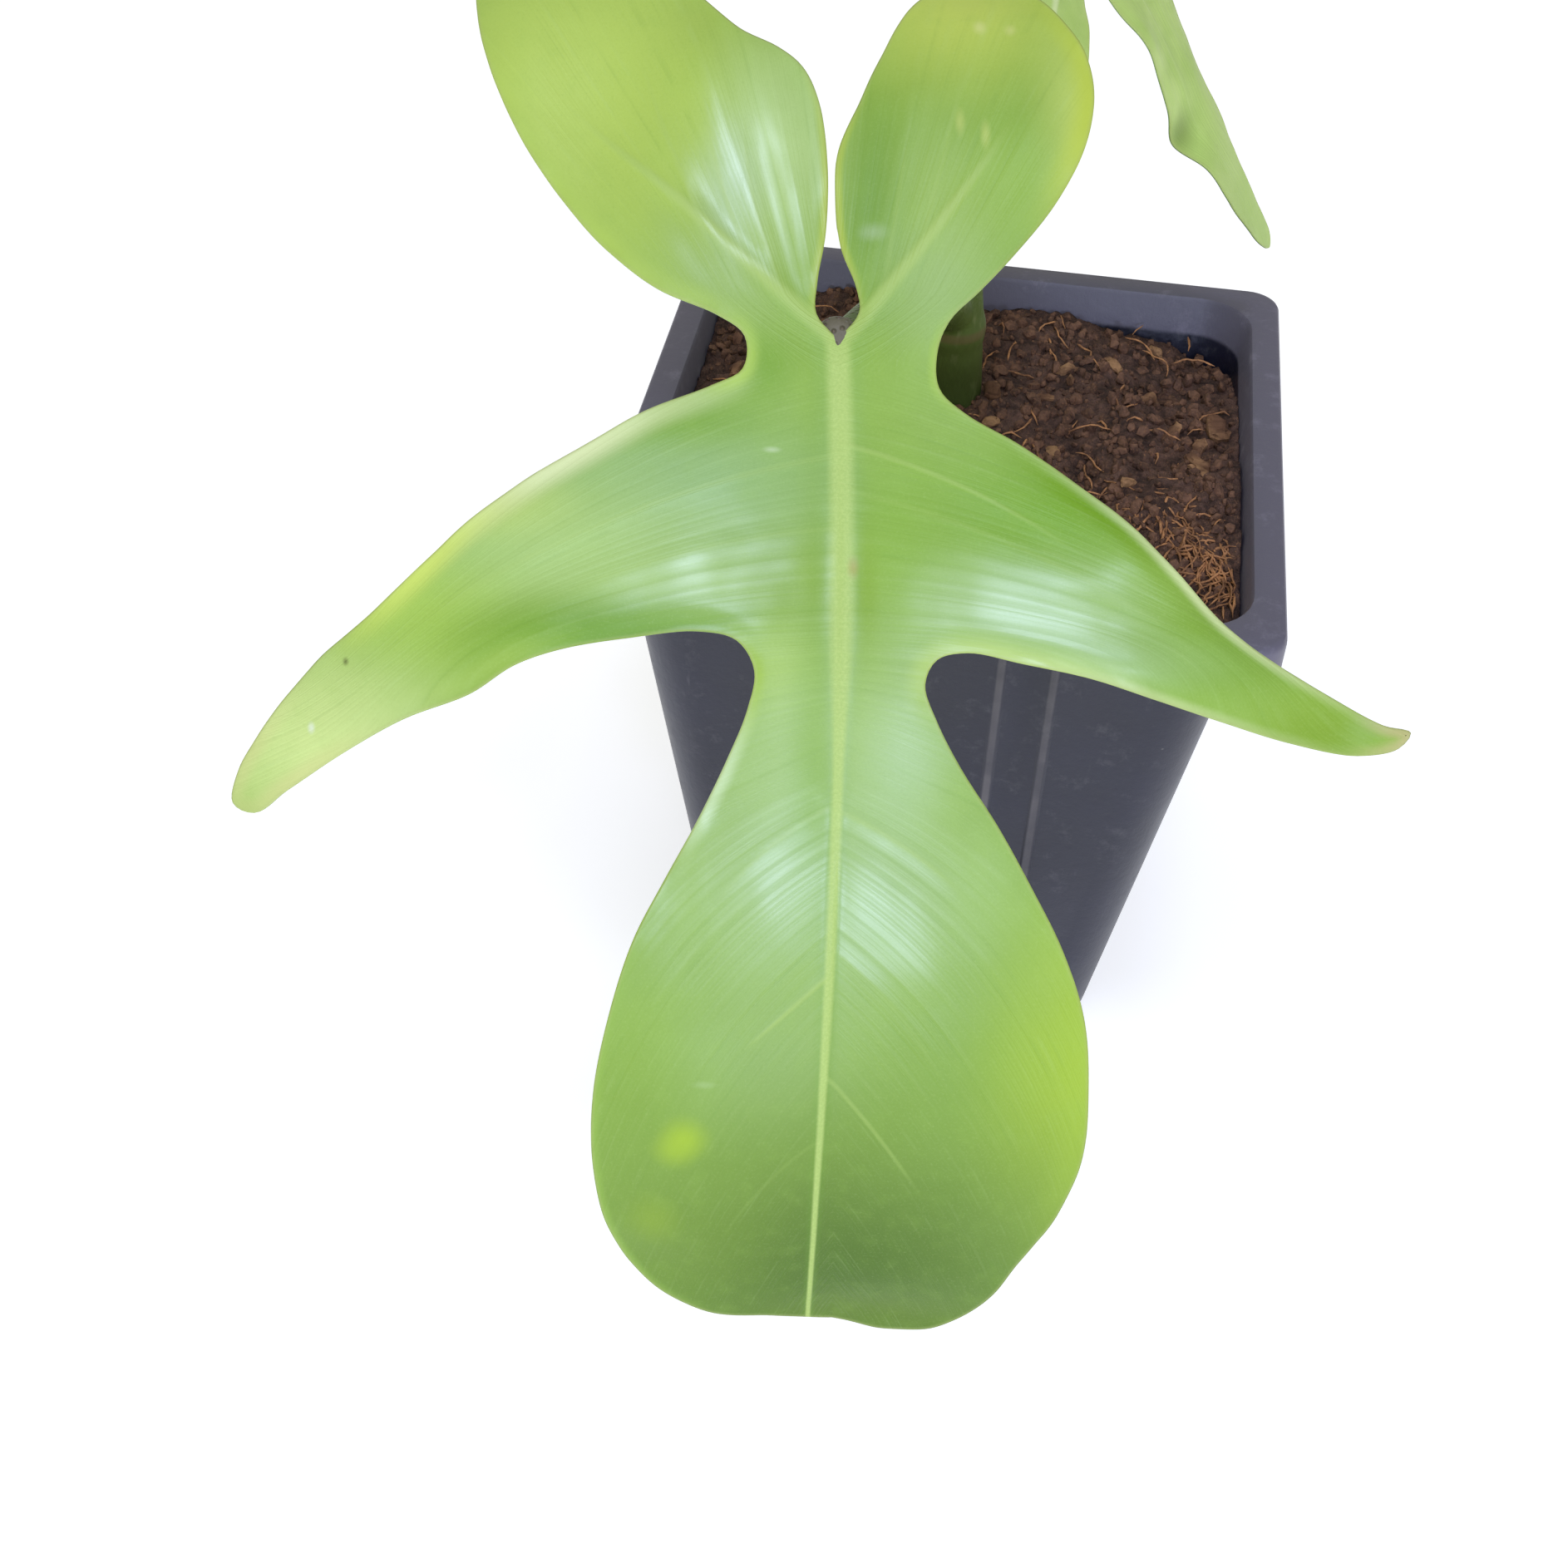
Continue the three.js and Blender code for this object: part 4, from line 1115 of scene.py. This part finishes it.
# Zones of colour on a flat blade: centre, half sizes, colour and strength.
YELLOW = rgb(208, 224, 112)
DEEP = rgb(118, 162, 30)
# A pale mint green that is the leaf's own tone together with a painted sheen: its patches stand where the
# wax shines.
MINT_AND_SHEEN = rgb(154, 188, 112)
CREAM = rgb(222, 232, 168)
FRONT_PATCHES = [
    (-28, 30, 26, 34, rgb(186, 210, 92), 0.98), (-12, 7, 9, 8, rgb(150, 180, 92), 0.6),
    (-6, 22, 8, 15, rgb(186, 214, 134), 0.85), (13, 38, 15, 13, rgb(196, 213, 90), 0.98),
    (4, 14, 5, 12, rgb(112, 154, 60), 0.75), (11, 12, 7, 15, rgb(160, 190, 92), 0.7),
    (26, 24, 6, 15, YELLOW, 0.7), (18, 16, 7, 9, rgb(152, 188, 70), 0.6),
    (-16, -15, 20, 9, rgb(146, 182, 114), 0.8),
    (-30, -22, 18, 10, rgb(174, 205, 118), 0.85), (-56, -42, 19, 14, rgb(210, 229, 140), 0.97),
    (-36, -17, 10, 4, YELLOW, 0.4), (-44, -28, 12, 6, rgb(170, 202, 82), 0.7),
    (-8, -3, 4, 4.5, DEEP, 0.8), (-16, -8.5, 11, 3.2, DEEP, 0.75),
    (-23, -30, 19, 4.2, rgb(106, 152, 10), 0.95),
    # On the right side lobe the deep greens at (24, -18), (38, -31) and (51, -40) are its darker green with
    # painted shade, the light coming from the left; the mint patches near its lower edge carry a painted
    # sheen.
    (24, -18, 20, 9, rgb(114, 162, 6), 0.9), (38, -31, 18, 7, rgb(124, 164, 50), 0.75),
    (51, -40, 13, 6, rgb(130, 164, 40), 0.8), (19, -28, 15, 6.5, MINT_AND_SHEEN, 0.6), (28, -33.5, 13, 3.6, MINT_AND_SHEEN, 0.8),
    (6, -21, 5, 11, rgb(134, 176, 50), 0.6), (2.8, -26, 1.6, 8, rgb(132, 168, 24), 0.5),
    (-6.5, -34, 5, 6, rgb(170, 201, 78), 0.7), (0, -41, 13, 12, rgb(166, 198, 116), 0.85),
    # The mint patch at (0, -57) carries a painted sheen where the tip lobe shines.
    (0, -57, 15, 15, MINT_AND_SHEEN, 0.75), (-6, -75, 13, 12, rgb(146, 178, 98), 0.75),
    (13, -76, 12, 15, rgb(130, 166, 60), 0.75), (25, -79, 11, 23, rgb(160, 190, 46), 0.85),
    # The pale bluish patches at (7, -43) and (-11, 16) are painted sheen on glossy spots.
    (-2.6, -46, 3, 17, rgb(124, 168, 40), 0.5), (7, -43, 5, 8, rgb(172, 204, 146), 0.5),
    (-11, 16, 4, 8, rgb(192, 218, 178), 0.5), (10, 5, 7, 8, rgb(160, 190, 120), 0.5),
    # The dark greens at (2, -106), (-16, -99) and (3, -112) are partly the tip lobe's deeper green and
    # partly painted shade where it hangs away from the light.
    (-23, -82, 7, 20, rgb(128, 163, 52), 0.6), (2, -106, 38, 29, rgb(70, 104, 0), 0.98),
    (-16, -99, 12, 12, rgb(104, 138, 8), 0.4), (3, -112, 20, 5, rgb(92, 122, 14), 0.7),
]
# Pale bands along the edge: centre and half sizes of the oval that holds them, width, colour, strength.
FRONT_MARGINS = [
    (-29, -12, 24, 12, 3.2, CREAM, 0.95), (-60, -45, 14, 9, 2.4, rgb(208, 208, 132), 0.6),
    (38, -26, 28, 18, 1.3, CREAM, 0.7), (16, -34, 16, 6, 2.8, rgb(182, 208, 92), 0.7),
    (26, 25, 8, 18, 3.4, rgb(192, 208, 60), 0.7), (-25, 11, 22, 18, 2.6, rgb(176, 204, 84), 0.7),
    (-1.5, 15, 4, 16, 1.1, rgb(186, 204, 72), 0.7), (1, 15, 3, 16, 1.0, rgb(178, 198, 66), 0.6),
    (-10, -3, 4, 6, 1.8, rgb(176, 206, 84), 0.8), (-9, -36, 4, 8, 1.6, rgb(160, 192, 56), 0.7),
    (26, -80, 8, 24, 4.5, rgb(168, 198, 52), 0.25), (60, -41, 6, 4, 1.6, rgb(196, 178, 126), 0.7),
    (10, -3, 4, 6, 1.2, rgb(168, 200, 76), 0.6), (-22, -90, 10, 30, 1.2, rgb(150, 188, 70), 0.5),
    (-42, -24, 14, 11, 3, rgb(212, 228, 104), 0.8), (-11.5, -47, 6, 11, 1.8, rgb(204, 226, 166), 0.7),
]
# Places where the wax is smooth enough to shine: centre and half sizes.
FRONT_GLOSS = [
    (-9, -54, 15, 17), (5, -57, 12, 22), (-9.5, -24, 15, 8.5), (20, -29.5, 20, 8), (7, -43, 6, 8),
    (-10, 16, 9, 15), (-3, 15, 5, 13),
]
BACK_GLOSS = [(-10, -60, 14, 26), (0, 10, 20, 20)]
# Small marks: centre, half sizes, colour and strength.
FRONT_SPECKS = [
    (-16.2, -84.6, 2.8, 2.7, rgb(166, 196, 30), 0.7), (-17.4, -86.2, 2.6, 2.4, rgb(160, 190, 36), 0.6),
    (-20, -96, 3.4, 4, rgb(140, 170, 34), 0.45),
    (3.7, 11.2, 1.7, 1.1, rgb(196, 216, 176), 0.3), (-14, -78, 1.4, 0.5, rgb(180, 206, 140), 0.3),
    (-52, -33, 0.4, 0.5, rgb(96, 104, 44), 0.8), (-56, -40.2, 0.5, 0.7, rgb(232, 240, 214), 0.7),
    (-6.8, -11.5, 1.0, 0.35, rgb(206, 222, 176), 0.5), (15.2, 34.8, 0.8, 1.1, rgb(222, 226, 140), 0.6),
    (18.4, 34.4, 0.7, 0.9, rgb(216, 220, 132), 0.5), (15.4, 21.5, 0.6, 1.8, rgb(204, 216, 116), 0.5),
    (12.8, 23, 0.6, 1.7, rgb(200, 212, 112), 0.5), (1.6, -23.5, 0.7, 1.3, rgb(166, 140, 50), 0.5),
]
BACK_PATCHES = [
    # The pale patch at (-48, -34) is painted light on the strip that faces the sky; the dark one at (-40,
    # -23) is painted shade in the fold beside the bulge.
    (-48, -34, 26, 16, rgb(180, 206, 112), 0.7), (-40, -23, 5, 4, rgb(122, 144, 66), 0.8),
    (30, -24, 16, 8, rgb(172, 202, 100), 0.5),
    (0, 25, 24, 16, rgb(172, 202, 96), 0.5), (-6, -40, 8, 16, rgb(168, 198, 100), 0.4),
]
BACK_MARGINS = [(0, -40, 60, 90, 1.4, rgb(186, 206, 112), 0.5)]


class PLANT_OT_blades(bpy.types.Operator):
    """Build the two lobed leaf blades"""
    bl_idname = "plant.blades"
    bl_label = "Leaf blades"

    def execute(self, context):
        plant = context.scene.plant_growth
        front = blade_finish(
            "leaf_front_green", plant.green, plant.vein, plant, FRONT_PATCHES, FRONT_MARGINS,
            FRONT_SPECKS, FRONT_GLOSS)
        back = blade_finish(
            "leaf_back_green", plant.second_green, plant.second_vein, plant, BACK_PATCHES, BACK_MARGINS,
            [], BACK_GLOSS)
        blade_piece("front_blade", FRONT, plant, front, "leaf_front")
        blade_piece("back_blade", BACK, plant, back, "leaf_back")
        return {"FINISHED"}


# Stem and stalks

STEM_LINE = [(-2.2, 13.1, 66), (-2.2, 13.1, 86), (-2.6, 12.3, 96), (-3.4, 10.8, 106), (-4.6, 10, 117),
             (-5.4, 10.6, 129)]
# Shares of the stem's length, with its radius there: two rings, then the pointed bud.
STEM_SHAPE = [
    (0, 4.1), (0.3, 4.25), (0.38, 4.1), (0.46, 4), (0.485, 4.35), (0.5, 4.5), (0.515, 4.35), (0.54, 4.05),
    (0.61, 3.95), (0.64, 4.4), (0.66, 4.6), (0.68, 4.4), (0.71, 3.8), (0.76, 2.95), (0.84, 2.5),
    (0.94, 1.5), (0.985, 0.7), (1, 0.2),
]


# Heights of the brown scars on the rings, and where the stem stands, in metres.
SCAR_HEIGHTS = (0.0977, 0.1075)
STEM_MIDDLE_Y = 0.0118


def under_notch(form, depth):
    """A point under a blade's notch, at a depth below its upper face."""
    return blade_turn(form) @ Vector((0, 0.2, -depth)) + Vector(form["at"])


def stalk_finish(settings, tops):
    green = Finish("stem_green", roughness=0.45, specular_ior_level=0.45)
    place = green.place()
    _, y, z = green.split(place)
    cloud = green.noise(place, 60, 4, 0.6)
    flecks = green.noise(green.vector("MULTIPLY", place, (1, 1, 0.35)), 620, 3, 0.6)
    warts = green.cells(place, 1100)
    color = green.mix(cloud.ramp(0.3, 0.7) * 0.7, tuple(settings.stalk), rgb(120, 140, 66))
    color = green.mix(flecks.ramp(0.55, 0.7) * 0.45, color, rgb(150, 158, 104))
    # Painted shade: the stem is darker green low down, near the soil and under the leaves.
    low = z.ramp(0.088, 0.104, 1, 0)
    color = green.mix(low * 0.6, color, rgb(58, 68, 28))
    for height in SCAR_HEIGHTS:
        scar = abs(z - height).ramp(0.0003, 0.0011, 1, 0) * abs(y - STEM_MIDDLE_Y).ramp(0.005, 0.0065, 1, 0)
        color = green.mix(scar * 0.55, color, rgb(128, 104, 70))
    for top in tops:
        near = green.vector("DISTANCE", place, tuple(c * MM for c in top))
        color = green.mix(near.ramp(0.003, 0.014, 0.85, 0), color, rgb(106, 94, 82))
        color = green.mix(near.ramp(0.002, 0.05, 0.6, 0) * warts.ramp(0.28, 0.1), color, rgb(120, 72, 68))
    rough = 0.4 + cloud * 0.15 + flecks * 0.1
    knobs = warts.ramp(0.1, 0.42, 1, 0) * z.ramp(0.1, 0.115)
    green.set(base_color=color, roughness=rough,
              normal=green.bump(knobs, 0.00035, green.bump(flecks, 0.0002)))
    return green.material


class PLANT_OT_stem(bpy.types.Operator):
    """Build the stem with its rings and bud, and the two leaf stalks"""
    bl_idname = "plant.stem"
    bl_label = "Stem and stalks"

    def execute(self, context):
        plant = context.scene.plant_growth
        bm = bmesh.new()
        path = smooth_path(STEM_LINE, 0.5)
        heights, radii = zip(*STEM_SHAPE)
        steps = np.linspace(0, 1, len(path))
        tube(bm, path, np.interp(steps, heights, radii), 40)
        tops = []
        lines = [
            (FRONT, [(-3, 11.5, 100), (-4.4, 1, 108), (-6.5, -22, 121), (-9, -47, 132)], 3.4, 2.3),
            (BACK, [(-3, 11.5, 102), (-1.6, 16.5, 114), (-0.6, 19.6, 132)], 3.2, 2.0),
        ]
        for form, line, wide, narrow in lines:
            knots = line + [tuple(under_notch(form, depth)) for depth in (7, 1.1, 0.1)]
            path = smooth_path(knots, 0.6)
            steps = np.linspace(0, 1, len(path))
            radii = wide + (narrow - wide) * np.sqrt(steps)
            radii += 0.35 * np.exp(-((steps - 0.95) / 0.05) ** 2)
            radii[-2:] *= (0.9, 0.5)
            tube(bm, path, radii, 32)
            tops.append(knots[-1])
        bmesh.ops.recalc_face_normals(bm, faces=bm.faces)
        piece = make_piece("stem_and_stalks", bm, stalk_finish(plant, tops), "stem")
        fuse = piece.modifiers.new("fuse", "REMESH")
        fuse.mode = "VOXEL"
        fuse.voxel_size = 0.45 * MM
        fuse.use_smooth_shade = True
        ease = piece.modifiers.new("ease", "SMOOTH")
        ease.factor = 0.5
        ease.iterations = 4
        apply_modifiers(piece)
        return {"FINISHED"}


# Stage

# The camera's place in millimetres, its axes, its focal length and the photograph's side in pixels, and
# the width of its sensor in millimetres.
VIEW_FROM = (9.9, -260.3, 257.3)
VIEW_RIGHT = (0.98769192, 0.15334441, 0.03082455)
VIEW_UP = (-0.12630609, 0.66570114, 0.7354514)
VIEW_AHEAD = (-0.09225743, 0.73029274, -0.67687597)
FOCUS_PIXELS = 2600
PHOTO_PIXELS = 1886
SENSOR_WIDTH = 36
# Sizes and places of the floor and the lights, in metres.
FLOOR_HALF = 3
FLOOR_DROP = 0.0002
LIT_POINT = (0, -0.05, 0.1)
FRONT_DISTANCE = 0.9
FRONT_COLOR = (0.6, 0.68, 1)
# Name, azimuth and elevation in degrees, width and height in metres, and brightness.
FRONT_LIGHTS = [
    ("low_left", -3, 12, 0.1, 0.12, 34), ("low_right", 18, 17, 0.1, 0.12, 34),
    ("middle", 9, 43, 0.18, 0.1, 34), ("high", 21, 75, 0.14, 0.12, 24),
]


def aim(name, lamp, azimuth, elevation, distance):
    """Sets a lamp at an angle from the plant. Azimuth 0 is in front, and goes round to the right."""
    light = bpy.data.objects.new(name, lamp)
    bpy.context.scene.collection.objects.link(light)
    turn = math.radians(azimuth)
    lift = math.radians(elevation)
    way = Vector((math.sin(turn) * math.cos(lift), -math.cos(turn) * math.cos(lift), math.sin(lift)))
    light.location = Vector(LIT_POINT) + way * distance
    light.rotation_euler = way.to_track_quat("Z", "Y").to_euler()


def soft_box(name, azimuth, elevation, width, height, brightness):
    lamp = bpy.data.lights.new(name, "AREA")
    lamp.shape = "RECTANGLE"
    lamp.size = width
    lamp.size_y = height
    lamp.energy = brightness * math.pi * width * height
    lamp.color = FRONT_COLOR
    aim(name, lamp, azimuth, elevation, FRONT_DISTANCE)


def soft_sun(name, azimuth, elevation, spread, strength, color):
    lamp = bpy.data.lights.new(name, "SUN")
    lamp.color = color
    lamp.angle = math.radians(spread)
    lamp.energy = strength
    aim(name, lamp, azimuth, elevation, 1)


class PLANT_OT_studio(bpy.types.Operator):
    """Set up the camera, the pale floor and the soft lights"""
    bl_idname = "plant.studio"
    bl_label = "Studio"

    def execute(self, context):
        studio = context.scene.plant_studio
        bm = bmesh.new()
        bmesh.ops.create_grid(bm, x_segments=1, y_segments=1, size=FLOOR_HALF)
        mesh = bpy.data.meshes.new("floor")
        bm.to_mesh(mesh)
        bm.free()
        floor = bpy.data.objects.new("floor", mesh)
        context.scene.collection.objects.link(floor)
        paper = Finish("white_paper", roughness=0.9, specular_ior_level=0.1)
        tone = paper.noise(paper.place(), 3, 2)
        paper.set(base_color=paper.mix(tone * 0.1, tuple(studio.floor), (0.97, 0.97, 0.97, 1)),
                  emission_color=(1, 1, 1, 1), emission_strength=0.5)
        mesh.materials.append(paper.material)
        floor.location.z = -FLOOR_DROP
        soft_sun("key_light", -40, 52, 40, studio.key, (1, 0.97, 0.9))
        for name, azimuth, elevation, width, height, brightness in FRONT_LIGHTS:
            soft_box("front_" + name, azimuth, elevation, width, height, studio.front * brightness)
        world = bpy.data.worlds.new("studio")
        world.use_nodes = True
        surround = world.node_tree.nodes["Background"]
        surround.inputs["Color"].default_value = (1, 1, 0.94, 1)
        surround.inputs["Strength"].default_value = studio.sky
        context.scene.world = world
        context.scene.view_settings.view_transform = "Standard"
        lens = bpy.data.cameras.new("camera")
        lens.sensor_width = SENSOR_WIDTH
        lens.lens = SENSOR_WIDTH * FOCUS_PIXELS / PHOTO_PIXELS
        lens.clip_start = 0.01
        camera = bpy.data.objects.new("camera", lens)
        context.scene.collection.objects.link(camera)
        axes = Matrix((VIEW_RIGHT, VIEW_UP, [-c for c in VIEW_AHEAD])).transposed()
        camera.matrix_world = Matrix.Translation([c * MM for c in VIEW_FROM]) @ axes.to_4x4()
        context.scene.camera = camera
        return {"FINISHED"}


# Add-on

class PLANT_PT_panel(bpy.types.Panel):
    """The plant's pieces and their settings"""
    bl_idname = "PLANT_PT_panel"
    bl_label = "Potted philodendron"
    bl_space_type = "VIEW_3D"
    bl_region_type = "UI"
    bl_category = "Plant"

    def draw(self, context):
        scene = context.scene
        groups = [
            (scene.plant_pot, ["plant.pot"]), (scene.plant_soil, ["plant.soil"]),
            (scene.plant_growth, ["plant.stem", "plant.blades"]), (scene.plant_studio, ["plant.studio"]),
        ]
        for settings, operators in groups:
            box = self.layout.box()
            for name in settings.__annotations__:
                box.prop(settings, name)
            for operator in operators:
                box.operator(operator)


CLASSES = [
    PotSettings, SoilSettings, PlantSettings, StudioSettings, PLANT_OT_pot, PLANT_OT_soil,
    PLANT_OT_stem, PLANT_OT_blades, PLANT_OT_studio, PLANT_PT_panel,
]
SETTINGS = {
    "plant_pot": PotSettings, "plant_soil": SoilSettings, "plant_growth": PlantSettings,
    "plant_studio": StudioSettings,
}


def register():
    for cls in CLASSES:
        bpy.utils.register_class(cls)
    for name, group in SETTINGS.items():
        setattr(bpy.types.Scene, name, bpy.props.PointerProperty(type=group))


def unregister():
    for name in SETTINGS:
        delattr(bpy.types.Scene, name)
    for cls in reversed(CLASSES):
        bpy.utils.unregister_class(cls)


def main():
    register()
    bpy.ops.plant.studio()
    bpy.ops.plant.pot()
    bpy.ops.plant.soil()
    bpy.ops.plant.stem()
    bpy.ops.plant.blades()


if __name__ == "__main__":
    main()
